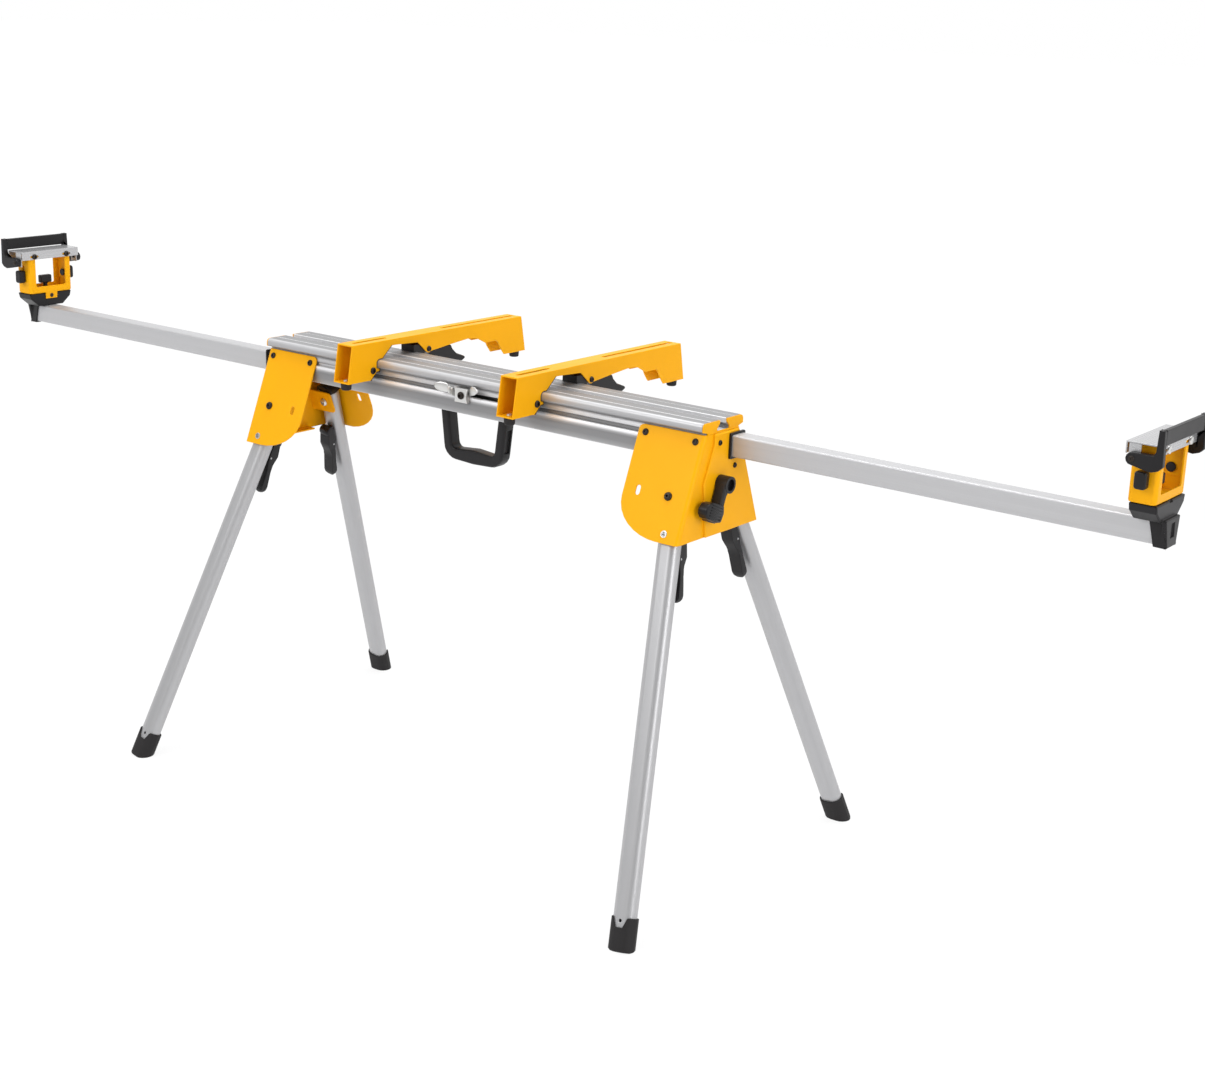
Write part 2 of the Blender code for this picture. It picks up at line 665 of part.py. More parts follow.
def end_plate():
    """What the bent sheet still lacks: head shaped tabs, a flange, a raised pan and the tube's opening."""
    half = [(SLOT_DEEP_HALF, SLOT_FLOOR), (SLOT_DEEP_HALF, SLOT_SHELF), (SLOT_HALF, SLOT_NECK),
            (SLOT_HALF, HEAD_TAB_SHRINK)]
    for y, z in arc((HEAD_HALF_WIDTH - HEAD_CORNER, -HEAD_CORNER), HEAD_CORNER - HEAD_TAB_SHRINK, 90, 0, 3):
        half.append((y, -z))
    root = plate_half(PLATE_TOP) - FOLD_RADIUS
    half += [(HEAD_HALF_WIDTH - HEAD_TAB_SHRINK, HEAD_DEPTH), (GROOVE_INNER, GROOVE_DEPTH),
             (root, PLATE_TOP),
             (root, PLATE_TOP + TAB_SINK)]
    outline = [(y, height(drop)) for y, drop in half]
    outline += [(-y, height(drop)) for y, drop in reversed(half)]
    tabs = along(outline, BEAM_HALF + GAP + TAB_STEP, END_FACE - TAB_STEP)
    foot = height(PLATE_BOTTOM - PLATE_STEP)
    crown = height(PLATE_TOP + PLATE_STEP)
    pan = [(PAN_TOP_FRONT, crown), (PAN_TOP_FRONT, height(PAN_KNEE_DROP)),
           (PAN_LOW_FRONT, height(PAN_LOW_DROP)),
           (PAN_FOOT_FRONT, height(PAN_FOOT_DROP)), (-FLANGE_HALF, foot),
           (plate_half(PLATE_BOTTOM) - PAN_EDGE, foot), (plate_half(PLATE_TOP) - PAN_EDGE, crown)]
    raised = bevel(along(pan, END_FACE - SHEET / 2, PAN_FACE), PAN_RISE / 3)
    flange = box((BEAM_HALF - FLANGE_REACH, -FLANGE_HALF, foot),
                 (END_FACE - SHEET / 2, FLANGE_HALF, foot + SHEET))
    return [tabs, raised, flange]


def tube_opening():
    """The cutter for the tube and its collar."""
    half_width = TUBE_WIDTH / 2 + COLLAR_WALL + GAP
    half_height = TUBE_HEIGHT / 2 + COLLAR_WALL + GAP
    opening = rounded(half_width, half_height, COLLAR_CORNER, 2,
                      (TUBE_Y, height(TUBE_TOP + TUBE_HEIGHT / 2)))
    return along(opening, BEAM_HALF - OVERRUN, PAN_FACE + OVERRUN)


def inner_tab(side):
    """The tab inside the leg that holds the inner end of the pivot bolt."""
    depth = LEG_INSET + LEG_THICK / 2 + SHEET / 2 + SHEET / 2
    place, _, _ = plate_frame(side, depth)
    middle = -down_plate(PIVOT_DROP)
    outline = rounded(INNER_TAB_REACH / 2, INNER_TAB_HALF, INNER_TAB_HALF / 3, 2,
                      (END_FACE - SHEET / 2 - INNER_TAB_REACH / 2, middle))
    outline = [(END_FACE - SHEET / 2 if x > PIVOT_X + INNER_TAB_HALF / 2 else x, y) for x, y in outline]
    hole = arc((PIVOT_X, middle), PIVOT_BOLT + GAP, 0, 360 - 360 / SMALL_SIDES, SMALL_SIDES - 1)
    return prism(outline, SHEET, place, [hole])


def button_screw(foot, outward, radius, rise, socket):
    """A low round screw head with a six sided socket."""
    head = cylinder(foot, foot + outward * rise, radius, radius * SCREW_CROWN_SHARE, SMALL_SIDES)
    floor = foot + outward * (rise - SCREW_SOCKET_DEPTH)
    tool = cylinder(floor, foot + outward * (rise + OVERRUN), socket, None, 6)
    return cut(head, tool)


def bracket_bolts():
    """Plate screws, leg pivot bolts with their nuts, and the two bolts of the end plate."""
    solids = []
    for side in (-1, 1):
        _, outward, _ = plate_frame(side)
        for x in SCREW_XS:
            foot = on_plate(side, x, SCREW_DROP, -GAP)
            solids.append(button_screw(foot, outward, SCREW_HEAD, SCREW_RISE, SCREW_SOCKET))
        foot = on_plate(side, PIVOT_X, PIVOT_DROP, -GAP)
        tab_inner = LEG_INSET + LEG_THICK / 2 + SHEET / 2 + SHEET
        solids.append(button_screw(foot, outward, PIVOT_HEAD, PIVOT_HEAD_RISE, SCREW_SOCKET))
        solids.append(cylinder(foot + outward * (PIVOT_HEAD_RISE / 2),
                               foot - outward * (tab_inner + NUT_HEIGHT / 2),
                               PIVOT_BOLT, None, SMALL_SIDES))
        solids.append(cylinder(foot - outward * (tab_inner - 2 * GAP),
                               foot - outward * (tab_inner + NUT_HEIGHT),
                               NUT_RADIUS, None, 6))
    for y, drop in END_BOLTS:
        foot = Vector((PAN_FACE - GAP, y, height(drop)))
        solids.append(button_screw(foot, Vector((1, 0, 0)), END_BOLT_HEAD, SCREW_RISE, SCREW_SOCKET))
    return solids


def brackets():
    """A bracket with its bolts, which are made fast in it."""
    body = cut(join(folded_sheet(), *end_plate()), tube_opening(), *plate_cutters(1), *plate_cutters(-1))
    pair(join(body, inner_tab(1), inner_tab(-1), *bracket_bolts()), "bracket", "yellow")


def tube_collars():
    """Plastic bushes that guide the extension tubes through the end plates."""
    centre = (TUBE_Y, height(TUBE_TOP + TUBE_HEIGHT / 2))
    bore = rounded(TUBE_WIDTH / 2 + GAP, TUBE_HEIGHT / 2 + GAP, TUBE_CORNER, 2, centre)
    sleeve = rounded(TUBE_WIDTH / 2 + COLLAR_WALL, TUBE_HEIGHT / 2 + COLLAR_WALL, COLLAR_CORNER, 2, centre)
    lip = rounded(TUBE_WIDTH / 2 + COLLAR_LIP, TUBE_HEIGHT / 2 + COLLAR_LIP, COLLAR_CORNER, 2, centre)
    inner = along(sleeve, BEAM_HALF + GAP, PAN_FACE + COLLAR_LIP_THICK / 2)
    made = join(inner, along(lip, PAN_FACE + GAP, PAN_FACE + COLLAR_LIP_THICK))
    pair(cut(made, along(bore, BEAM_HALF - OVERRUN, PAN_FACE + OVERRUN)), "tube_collar", "black")


def cam_levers():
    """Levers that clamp the extension tubes: a barrel, a ribbed arm and a thumb pad."""
    centre = Vector((PAN_FACE + GAP, CAM_Y, height(CAM_DROP)))
    end_x = centre.x + CAM_LENGTH
    down = Vector((0.0, -math.sin(CAM_LEAN), -math.cos(CAM_LEAN)))
    front = Vector((0.0, -math.cos(CAM_LEAN), math.sin(CAM_LEAN)))
    barrel = cylinder(centre, (end_x, centre.y, centre.z), CAM_RADIUS)
    face = CAM_RADIUS - PLATE_STEP
    place = frame_matrix(Vector((centre.x + CAM_ARM_TOP_WIDTH / 2, centre.y, centre.z)), down, front)
    slim = CAM_ARM_THICK
    arm_outline = [(0.0, face), (CAM_ARM_LENGTH, face), (CAM_ARM_LENGTH, face - slim),
                   (CAM_RADIUS + slim / 2, face - slim), (0.0, face - CAM_RADIUS - slim / 2)]
    arm = prism(arm_outline, CAM_ARM_TOP_WIDTH - 2 * PLATE_STEP, place)
    pad_start = CAM_ARM_LENGTH - CAM_PAD_LENGTH
    pad_outline = [(pad_start, face + slim / 4), (CAM_ARM_LENGTH - slim / 3, face + CAM_PAD_FRONT),
                   (CAM_ARM_LENGTH + slim / 4, face + CAM_PAD_FRONT / 2),
                   (CAM_ARM_LENGTH + slim / 4, face - slim),
                   (CAM_ARM_LENGTH - slim / 2, face - slim - CAM_PAD_REAR), (pad_start, face - slim)]
    pad_outline.insert(1, (pad_start + slim / 4, face + CAM_PAD_FRONT))
    pad_place = frame_matrix(Vector((centre.x + PLATE_STEP + CAM_PAD_THICK / 2, centre.y, centre.z)), down,
                             front)
    pad = prism(pad_outline, CAM_PAD_THICK, pad_place)
    made = join(barrel, bevel(arm, LEVER_EDGE), bevel(pad, LEVER_EDGE))
    tools = [cylinder((end_x - CAM_RECESS_DEPTH, centre.y, centre.z), (end_x + OVERRUN, centre.y, centre.z),
                      CAM_RECESS)]
    for index in range(CAM_RIB_COUNT):
        reach = pad_start - CAM_RIB_PITCH + index * CAM_RIB_PITCH
        low = Vector((end_x - CAM_RIB_DEPTH, 0.0, 0.0))
        middle = Vector((0.0, centre.y, centre.z)) + down * reach + front * (face - slim / 2)
        rib_place = frame_matrix(low + middle + Vector((OVERRUN / 2, 0.0, 0.0)), down, front)
        tools.append(prism(rounded(CAM_RIB_WIDTH / 2, slim / 3, CAM_RIB_WIDTH / 3, 1), OVERRUN, rib_place))
    pair(cut(made, *tools), "cam_lever", "black", centre)


def extension_tubes():
    centre = (TUBE_Y, height(TUBE_TOP + TUBE_HEIGHT / 2))
    outer = rounded(TUBE_WIDTH / 2, TUBE_HEIGHT / 2, TUBE_CORNER, 3, centre)
    inner = rounded(TUBE_WIDTH / 2 - TUBE_WALL, TUBE_HEIGHT / 2 - TUBE_WALL, TUBE_CORNER - TUBE_WALL / 2, 3,
                    centre)
    pair(along(outer, TUBE_INNER_END, TUBE_END, [inner]), "extension_tube", "bright")


def leg_frame(side):
    """Directions of a leg at the right end: along it, across it and outward."""
    outward = Vector((0.0, side * math.cos(LEG_SPLAY), math.sin(LEG_SPLAY)))
    down = Vector((0.0, side * math.sin(LEG_SPLAY), -math.cos(LEG_SPLAY)))
    run = (down * math.cos(LEG_SPREAD) + Vector((math.sin(LEG_SPREAD), 0.0, 0.0))).normalized()
    over = outward.cross(run).normalized()
    pivot = Vector((PIVOT_X, side * LEG_PIVOT_Y, LEG_PIVOT_Z))
    return pivot, run, over, outward


def leg_prism(side, outline, start_reach, end_reach, holes=()):
    """A prism along a leg, with its outline across the leg and outward."""
    pivot, run, over, outward = leg_frame(side)
    middle = pivot + run * (start_reach + end_reach) / 2
    return prism(outline, end_reach - start_reach, frame_matrix(middle, over, outward), holes)


def leg_rod(side, reach, low, high, radius, end_radius=None, sides=SMALL_SIDES):
    """A cylinder square to a leg, between two depths outward from its middle."""
    pivot, run, _, outward = leg_frame(side)
    return cylinder(pivot + run * reach + outward * low, pivot + run * reach + outward * high, radius,
                    end_radius,
                    sides)


def leg_tube(side):
    """The oval tube with its bores, and the lug that carries the lock lever."""
    half_width, half_thick = LEG_WIDTH / 2, LEG_THICK / 2
    outer = rounded(half_width, half_thick, half_thick - GAP, 5)
    inner = rounded(half_width - LEG_WALL, half_thick - LEG_WALL, half_thick - LEG_WALL - GAP, 5)
    tube = leg_prism(side, outer, -LEG_TOP, LEG_LENGTH - FOOT_SOLE - GAP, [inner])
    pivot, run, over, outward = leg_frame(side)
    lug_outline = [(LUG_PLACE - LUG_HALF, half_thick - LEG_WALL / 2),
                   (LUG_PLACE + LUG_HALF, half_thick - LEG_WALL / 2),
                   (LUG_PLACE + LUG_HALF, half_thick + LEVER_PIN_RISE),
                   (LUG_PLACE + LUG_HALF / 2, half_thick + LUG_RISE),
                   (LUG_PLACE - LUG_HALF / 2, half_thick + LUG_RISE),
                   (LUG_PLACE - LUG_HALF, half_thick + LEVER_PIN_RISE)]
    lug = prism(lug_outline, LUG_WIDTH, frame_matrix(pivot, run, -outward))
    pin_middle = pivot + run * LUG_PLACE - outward * (half_thick + LEVER_PIN_RISE)
    pin_reach = over * (LEVER_WIDTH / 2 - LEVER_EDGE / 2)
    pin = cylinder(pin_middle - pin_reach, pin_middle + pin_reach, LEVER_PIN, None, SMALL_SIDES)
    bolt_hole = leg_rod(side, 0.0, -half_thick - OVERRUN, half_thick + OVERRUN, PIVOT_BORE)
    lock_hole = leg_rod(side, LOCK_RADIUS, -half_thick - OVERRUN, half_thick + OVERRUN,
                        LOCK_PIN + PIN_HOLE_CLEARANCE)
    foot_hole = leg_rod(side, LEG_LENGTH - FOOT_LENGTH + FOOT_NOTCH_DEPTH / 3, 0.0, half_thick + OVERRUN,
                        FOOT_HOLE)
    return cut(join(tube, lug, pin), bolt_hole, lock_hole, foot_hole)


def leg_plug(side):
    """The round topped plug in the leg's upper end, which turns on the pivot bolt."""
    half_width, half_thick = LEG_WIDTH / 2 - PLATE_STEP, LEG_THICK / 2
    pivot, run, over, outward = leg_frame(side)
    angle = math.degrees(math.asin(half_width / PLUG_REACH))
    cap = [(-LEG_TOP - GAP, -half_width), (-LEG_TOP - GAP, half_width)]
    cap += arc((0.0, 0.0), PLUG_REACH, 180 - angle, 180 + angle, 6)
    dome = bevel(prism(cap, LEG_THICK - PLATE_STEP, frame_matrix(pivot, run, over)), LEVER_EDGE)
    room = LEG_WALL + GAP
    core_outline = rounded(LEG_WIDTH / 2 - room, half_thick - room, half_thick - room - GAP, 4)
    core = leg_prism(side, core_outline, -LEG_TOP - LEVER_EDGE, PLUG_CORE - LEG_TOP)
    bolt_hole = leg_rod(side, 0.0, -half_thick - OVERRUN, half_thick + OVERRUN, PIVOT_BORE)
    return cut(join(dome, core), bolt_hole)


def leg_foot(side):
    """The rubber boot: a sleeve with a round sole, cut flat where it stands on the floor."""
    pivot, run, over, outward = leg_frame(side)
    half_width, half_thick = LEG_WIDTH / 2 + FOOT_WALL, LEG_THICK / 2 + FOOT_WALL
    outline = rounded(half_width, half_thick, half_thick - GAP, 4)
    start_reach = LEG_LENGTH - FOOT_LENGTH
    boot = leg_prism(side, outline, start_reach, LEG_LENGTH + FOOT_ROUND / 2)
    bm = bmesh.new()
    bm.from_mesh(boot.data)
    bmesh.ops.dissolve_limit(bm, angle_limit=math.radians(1.0), verts=bm.verts, edges=bm.edges)
    limit = LEG_LENGTH
    sole = [edge for edge in bm.edges if all((vert.co - pivot).dot(run) > limit for vert in edge.verts)]
    bmesh.ops.bevel(bm, geom=sole, offset=FOOT_ROUND, segments=3, profile=ROUND_PROFILE_SHARE,
                    affect="EDGES", material=-1,
                    clamp_overlap=True)
    cutting = bmesh.ops.bisect_plane(bm, geom=bm.verts[:] + bm.edges[:] + bm.faces[:], plane_co=(0, 0, 0),
                                     plane_no=(0, 0, -1), clear_outer=True)
    rim = [item for item in cutting["geom_cut"] if isinstance(item, bmesh.types.BMEdge)]
    bmesh.ops.contextual_create(bm, geom=rim)
    face_out(bm)
    bm.to_mesh(boot.data)
    bm.free()
    room = rounded(LEG_WIDTH / 2 + GAP, LEG_THICK / 2 + GAP, LEG_THICK / 2, 5)
    bore = leg_prism(side, room, start_reach - OVERRUN, LEG_LENGTH - FOOT_SOLE)
    notch_low = start_reach + FOOT_NOTCH_DEPTH
    notch = [(start_reach - FOOT_NOTCH_DEPTH, FOOT_NOTCH_TOP + FOOT_NOTCH_LOW), (notch_low, FOOT_NOTCH_LOW),
             (notch_low, -FOOT_NOTCH_LOW),
             (start_reach - FOOT_NOTCH_DEPTH, -FOOT_NOTCH_TOP - FOOT_NOTCH_LOW)]
    notch_place = frame_matrix(pivot + outward * (LEG_THICK / 2 + OVERRUN / 2 - FOOT_WALL), run, over)
    return cut(boot, bore, prism(notch, OVERRUN, notch_place))


# The lock lever's outline: share of its length, share of its largest rise off the leg
LEVER_RISE = 0.027
LEVER_OUTLINE_SHARES = ((0.0, 0.20), (0.0, 0.50), (0.05, 0.66), (0.17, 0.78), (0.28, 0.88), (0.38, 0.82),
                        (0.48, 0.74), (0.58, 0.74), (0.74, 0.88), (0.86, 0.99), (0.93, 0.97), (0.985, 0.88),
                        (1.0, 0.76), (0.985, 0.64), (0.94, 0.54), (0.86, 0.48), (0.66, 0.42), (0.42, 0.24),
                        (0.29, 0.10), (0.08, 0.10))
# The lock lever seen from its back: share of its length where its waist lies
LEVER_WAIST_SHARES = (0.24, 0.42, 0.58)


def leg_lever(side):
    """The squeeze lever on the leg's inner side, which draws the lock pin."""
    pivot, run, over, outward = leg_frame(side)
    half_thick = LEG_THICK / 2
    length = LEVER_END - LEVER_TOP
    outline = [(LEVER_TOP + share * length, half_thick + rise * LEVER_RISE)
               for share, rise in LEVER_OUTLINE_SHARES]
    lever = prism(outline, LEVER_WIDTH, frame_matrix(pivot, run, -outward))
    half_width = LEVER_WIDTH / 2
    back = [(LEVER_TOP - OVERRUN, half_width + OVERRUN),
            (LEVER_TOP + LEVER_WAIST_SHARES[0] * length, half_width + GAP),
            (LEVER_TOP + LEVER_WAIST_SHARES[1] * length, half_width - LEVER_WAIST),
            (LEVER_TOP + LEVER_WAIST_SHARES[2] * length, half_width + GAP)]
    end_centre = (LEVER_END - half_width, 0.0)
    back += arc(end_centre, half_width - PLATE_STEP, 90, 0, 5)
    back += [(reach, -width) for reach, width in reversed(back[:-1])]
    combine(lever, [prism(back, 4 * LEVER_RISE, frame_matrix(pivot, run, over))], "INTERSECT")
    bevel(lever, LEVER_EDGE)
    slot_low = pivot + run * LUG_PLACE - outward * half_thick
    slot = prism([(-LUG_HALF - LEVER_EDGE, -OVERRUN), (LUG_HALF + LEVER_EDGE, -OVERRUN),
                  (LUG_HALF + LEVER_EDGE, LUG_RISE + LEVER_EDGE),
                  (-LUG_HALF - LEVER_EDGE, LUG_RISE + LEVER_EDGE)],
                 LEVER_SLOT, frame_matrix(slot_low, run, -outward))
    pin_middle = slot_low - outward * LEVER_PIN_RISE
    bore = cylinder(pin_middle - over * LEVER_WIDTH, pin_middle + over * LEVER_WIDTH, LEVER_PIN + GAP, None,
                    SMALL_SIDES)
    passage = leg_rod(side, LOCK_RADIUS, -half_thick - LEVER_RISE - OVERRUN, -half_thick, PIN_PASS)
    return cut(lever, slot, bore, passage), pin_middle


def lock_pin(side):
    """The pin that shows in the side plate's hole, with its head behind the lever."""
    half_thick = LEG_THICK / 2
    tip = LEG_INSET - SHEET - GAP - PIN_TIP_SHORT
    shaft = leg_rod(side, LOCK_RADIUS, -half_thick - PIN_HEAD_PLACE - PIN_HEAD_HEIGHT / 2,
                    tip - LOCK_PIN / 2, LOCK_PIN)
    nose = leg_rod(side, LOCK_RADIUS, tip - LOCK_PIN / 2 - GAP, tip, LOCK_PIN - GAP, LOCK_PIN / 2)
    head = leg_rod(side, LOCK_RADIUS, -half_thick - PIN_HEAD_PLACE - PIN_HEAD_HEIGHT,
                   -half_thick - PIN_HEAD_PLACE,
                   PIN_HEAD)
    return join(shaft, nose, head)


def legs():
    """Four legs. The right front leg turns into the left rear one, so the copies swap their names."""
    for side, near, far in ((-1, "front", "rear"), (1, "rear", "front")):
        pivot, _, _, _ = leg_frame(side)
        lever, lever_pivot = leg_lever(side)
        pieces = ((leg_tube(side), "leg_tube", "bright", pivot),
                  (leg_plug(side), "leg_plug", "black", pivot),
                  (leg_foot(side), "leg_foot", "rubber", pivot), (lever, "leg_lever", "black", lever_pivot),
                  (lock_pin(side), "lock_pin", "zinc", pivot))
        for piece, name, finish_name, origin in pieces:
            made = finish(piece, name + "_right_" + near, finish_name, origin)
            turned(made, name + "_left_" + far)


def end_brackets():
    """Plastic brackets on the tubes' outer ends: a wide head and a cap round the tube."""
    x, y = SUPPORT_REACH, TUBE_Y
    head_low, head_high = height(TUBE_TOP) + GAP, BEAM_TOP - GAP
    cap_low = height(TUBE_LOW) - GAP - CAP_BOTTOM_WALL
    cap_half = TUBE_WIDTH / 2 + GAP + CAP_WALL
    wing_low = head_high - HEAD_WING_HEIGHT
    half = [(HEAD_BLOCK_TOP_WIDTH, head_high), (HEAD_BLOCK_TOP_WIDTH - HEAD_WING_TAPER, wing_low),
            (HEAD_NECK_HALF, head_low)]
    outline = [(y + reach, z) for reach, z in half] + [(y - reach, z) for reach, z in reversed(half)]
    head = along(outline, x - HEAD_BLOCK_HALF, x + HEAD_BLOCK_OUT)
    cap = taper_box((x + CAP_LOW_REACH, x + CAP_OUT - HEAD_BLOCK_EDGE), (y - cap_half, y + cap_half),
                    cap_low,
                    (x + CAP_TOP_REACH, x + HEAD_BLOCK_OUT + PLATE_STEP), (y - cap_half, y + cap_half),
                    head_low + HEAD_BLOCK_EDGE)
    wedge = taper_box((TUBE_END + GAP, x + CAP_OUT), (y - CAP_WEDGE_LOW_HALF, y + CAP_WEDGE_LOW_HALF),
                      cap_low - PLATE_STEP, (TUBE_END + GAP - HEAD_BLOCK_EDGE,
                                             x + CAP_OUT - HEAD_BLOCK_EDGE),
                      (y - CAP_WEDGE_HALF, y + CAP_WEDGE_HALF), head_low + 2 * HEAD_BLOCK_EDGE)
    made = join(bevel(head, HEAD_BLOCK_EDGE), bevel(cap, HEAD_BLOCK_EDGE / 2),
                bevel(wedge, HEAD_BLOCK_EDGE))
    bore = box((x - HEAD_BLOCK_HALF - OVERRUN, y - TUBE_WIDTH / 2 - GAP, height(TUBE_LOW) - GAP),
               (TUBE_END + GAP, y + TUBE_WIDTH / 2 + GAP, height(TUBE_TOP) + GAP / 2))
    pocket = box((x + CAP_OUT - POCKET_DEPTH - HEAD_BLOCK_EDGE, y - POCKET_HALF, height(POCKET_LOW)),
                 (x + CAP_OUT + OVERRUN, y + POCKET_HALF, height(POCKET_TOP)))
    notch = box((x + HEAD_BLOCK_OUT - HEAD_NOTCH_DEPTH, y - HEAD_NOTCH_HALF, head_high - HEAD_NOTCH_DEPTH),
                (x + HEAD_BLOCK_OUT + OVERRUN, y + HEAD_NOTCH_HALF, head_high + OVERRUN))
    pair(cut(made, bore, pocket, notch), "end_bracket", "black")


def support_frames():
    """The fixed frame of a material support: an open topped box with windows and height slots."""
    x, y = SUPPORT_REACH, TUBE_Y
    shell = box((x - FRAME_HALF_DEPTH, y - FRAME_HALF_WIDTH, BEAM_TOP),
                (x + FRAME_HALF_DEPTH, y + FRAME_HALF_WIDTH, BEAM_TOP + FRAME_HEIGHT))
    bm = bmesh.new()
    bm.from_mesh(shell.data)
    uprights = [edge for edge in bm.edges
                if abs(edge.verts[0].co.z - edge.verts[1].co.z) > FRAME_HEIGHT / 2]
    bmesh.ops.bevel(bm, geom=uprights, offset=FRAME_EDGE, segments=3, profile=ROUND_PROFILE_SHARE,
                    affect="EDGES",
                    material=-1)
    foot = [edge for edge in bm.edges if max(vert.co.z for vert in edge.verts) < BEAM_TOP + GAP]
    bmesh.ops.bevel(bm, geom=foot, offset=FRAME_FOOT_EDGE, segments=2, profile=ROUND_PROFILE_SHARE,
                    affect="EDGES",
                    material=-1)
    bm.to_mesh(shell.data)
    bm.free()
    clip = box((x - FRAME_HALF_DEPTH + GAP, y - FRAME_CLIP_HALF, BEAM_TOP - FRAME_CLIP_DROP),
               (x - HEAD_BLOCK_HALF - GAP, y + FRAME_CLIP_HALF, BEAM_TOP + SHEET))
    room = box((x - FRAME_HALF_DEPTH + SHEET, y - FRAME_HALF_WIDTH + SHEET, BEAM_TOP + SHEET),
               (x + FRAME_HALF_DEPTH - SHEET, y + FRAME_HALF_WIDTH - SHEET,
                BEAM_TOP + FRAME_HEIGHT + OVERRUN))
    window_high = BEAM_TOP + FRAME_HEIGHT + OVERRUN
    window_low = BEAM_TOP + WINDOW_BOTTOM
    outline = rounded(WINDOW_HALF, (window_high - window_low) / 2, WINDOW_EDGE, 2,
                      (y, (window_high + window_low) / 2))
    window = along(outline, x - FRAME_HALF_DEPTH - OVERRUN, x + FRAME_HALF_DEPTH + OVERRUN)
    slot_middle = BEAM_TOP + (HEIGHT_SLOT_LOW + HEIGHT_SLOT_HIGH) / 2
    outline = rounded(HEIGHT_SLOT_HALF, (HEIGHT_SLOT_HIGH - HEIGHT_SLOT_LOW) / 2, HEIGHT_SLOT_HALF - GAP, 3,
                      (x, slot_middle))
    slot = across(outline, y - FRAME_HALF_WIDTH - OVERRUN, y + FRAME_HALF_WIDTH + OVERRUN)
    pair(cut(join(shell, clip), room, window, slot), "support_frame", "yellow")


def support_carriers():
    """The sliding carrier inside the frame, which lifts the support's top."""
    x, y = SUPPORT_REACH, TUBE_Y
    top = BEAM_TOP + TOP_HEIGHT - TOP_PLATE - GAP
    leg_outer = FRAME_HALF_WIDTH - SHEET - GAP
    half_depth = TOP_HALF_DEPTH - TOP_PLATE - GAP
    leg_half = FRAME_HALF_DEPTH - SHEET - GAP
    tray = box((x - half_depth, y - leg_outer, top - CARRIER_FLANGE), (x + half_depth, y + leg_outer, top))
    room = box((x - half_depth + TOP_PLATE, y - FRAME_HALF_WIDTH - OVERRUN, top - CARRIER_FLANGE - OVERRUN),
               (x + half_depth - TOP_PLATE, y + FRAME_HALF_WIDTH + OVERRUN, top - TOP_PLATE))
    made = cut(tray, room)
    limbs = []
    for side in (-1, 1):
        outer = y + side * (leg_outer - PLATE_STEP / 2)
        inner = y + side * (leg_outer - TOP_PLATE)
        limbs.append(box((x - leg_half, min(outer, inner), BEAM_TOP + CARRIER_LEG_LOW),
                         (x + leg_half, max(outer, inner), top - TOP_PLATE / 2)))
    made = join(made, *limbs)
    bolt = cylinder((x, y - FRAME_HALF_WIDTH - OVERRUN, BEAM_TOP + KNOB_HEIGHT),
                    (x, y + FRAME_HALF_WIDTH + OVERRUN, BEAM_TOP + KNOB_HEIGHT), CARRIER_HOLE, None,
                    SMALL_SIDES)
    pair(cut(made, bolt), "support_carrier", "yellow")


def support_tops():
    """The bright top: a plate with slotted flanges along it and an ear for the stop at each end."""
    x, y = SUPPORT_REACH, TUBE_Y
    top = BEAM_TOP + TOP_HEIGHT
    plate = box((x - TOP_HALF_DEPTH, y - TOP_HALF_LENGTH, top - TOP_FLANGE),
                (x + TOP_HALF_DEPTH, y + TOP_HALF_LENGTH, top))
    room = box((x - TOP_HALF_DEPTH + TOP_PLATE, y - TOP_HALF_LENGTH - OVERRUN, top - TOP_FLANGE - OVERRUN),
               (x + TOP_HALF_DEPTH - TOP_PLATE, y + TOP_HALF_LENGTH + OVERRUN, top - TOP_PLATE))
    made = cut(plate, room)
    ears = []
    for side in (-1, 1):
        outer = y + side * (TOP_HALF_LENGTH - GAP)
        inner = y + side * (TOP_HALF_LENGTH - TOP_PLATE)
        ears.append(box((x + STOP_PIVOT_X - STOP_EAR_HALF, min(outer, inner),
                         BEAM_TOP + STOP_PIVOT_HEIGHT - STOP_BOSS),
                        (x + STOP_PIVOT_X + STOP_EAR_HALF, max(outer, inner), top - TOP_PLATE / 2)))
    made = join(made, *ears)
    tools = [cylinder((x + STOP_PIVOT_X, y - STOP_HALF_LENGTH, BEAM_TOP + STOP_PIVOT_HEIGHT),
                      (x + STOP_PIVOT_X, y + STOP_HALF_LENGTH, BEAM_TOP + STOP_PIVOT_HEIGHT),
                      STOP_PIN + GAP, None,
                      SMALL_SIDES)]
    for side in (-1, 1):
        slot = rounded(TOP_SLOT_HALF, TOP_SLOT_RADIUS, TOP_SLOT_RADIUS - GAP, 2,
                       (y + side * TOP_SLOT_Y, BEAM_TOP + TOP_SLOT_HEIGHT))
        tools.append(along(slot, x - TOP_HALF_DEPTH - OVERRUN, x + TOP_HALF_DEPTH + OVERRUN))
    pair(cut(made, *tools), "support_top", "bright")


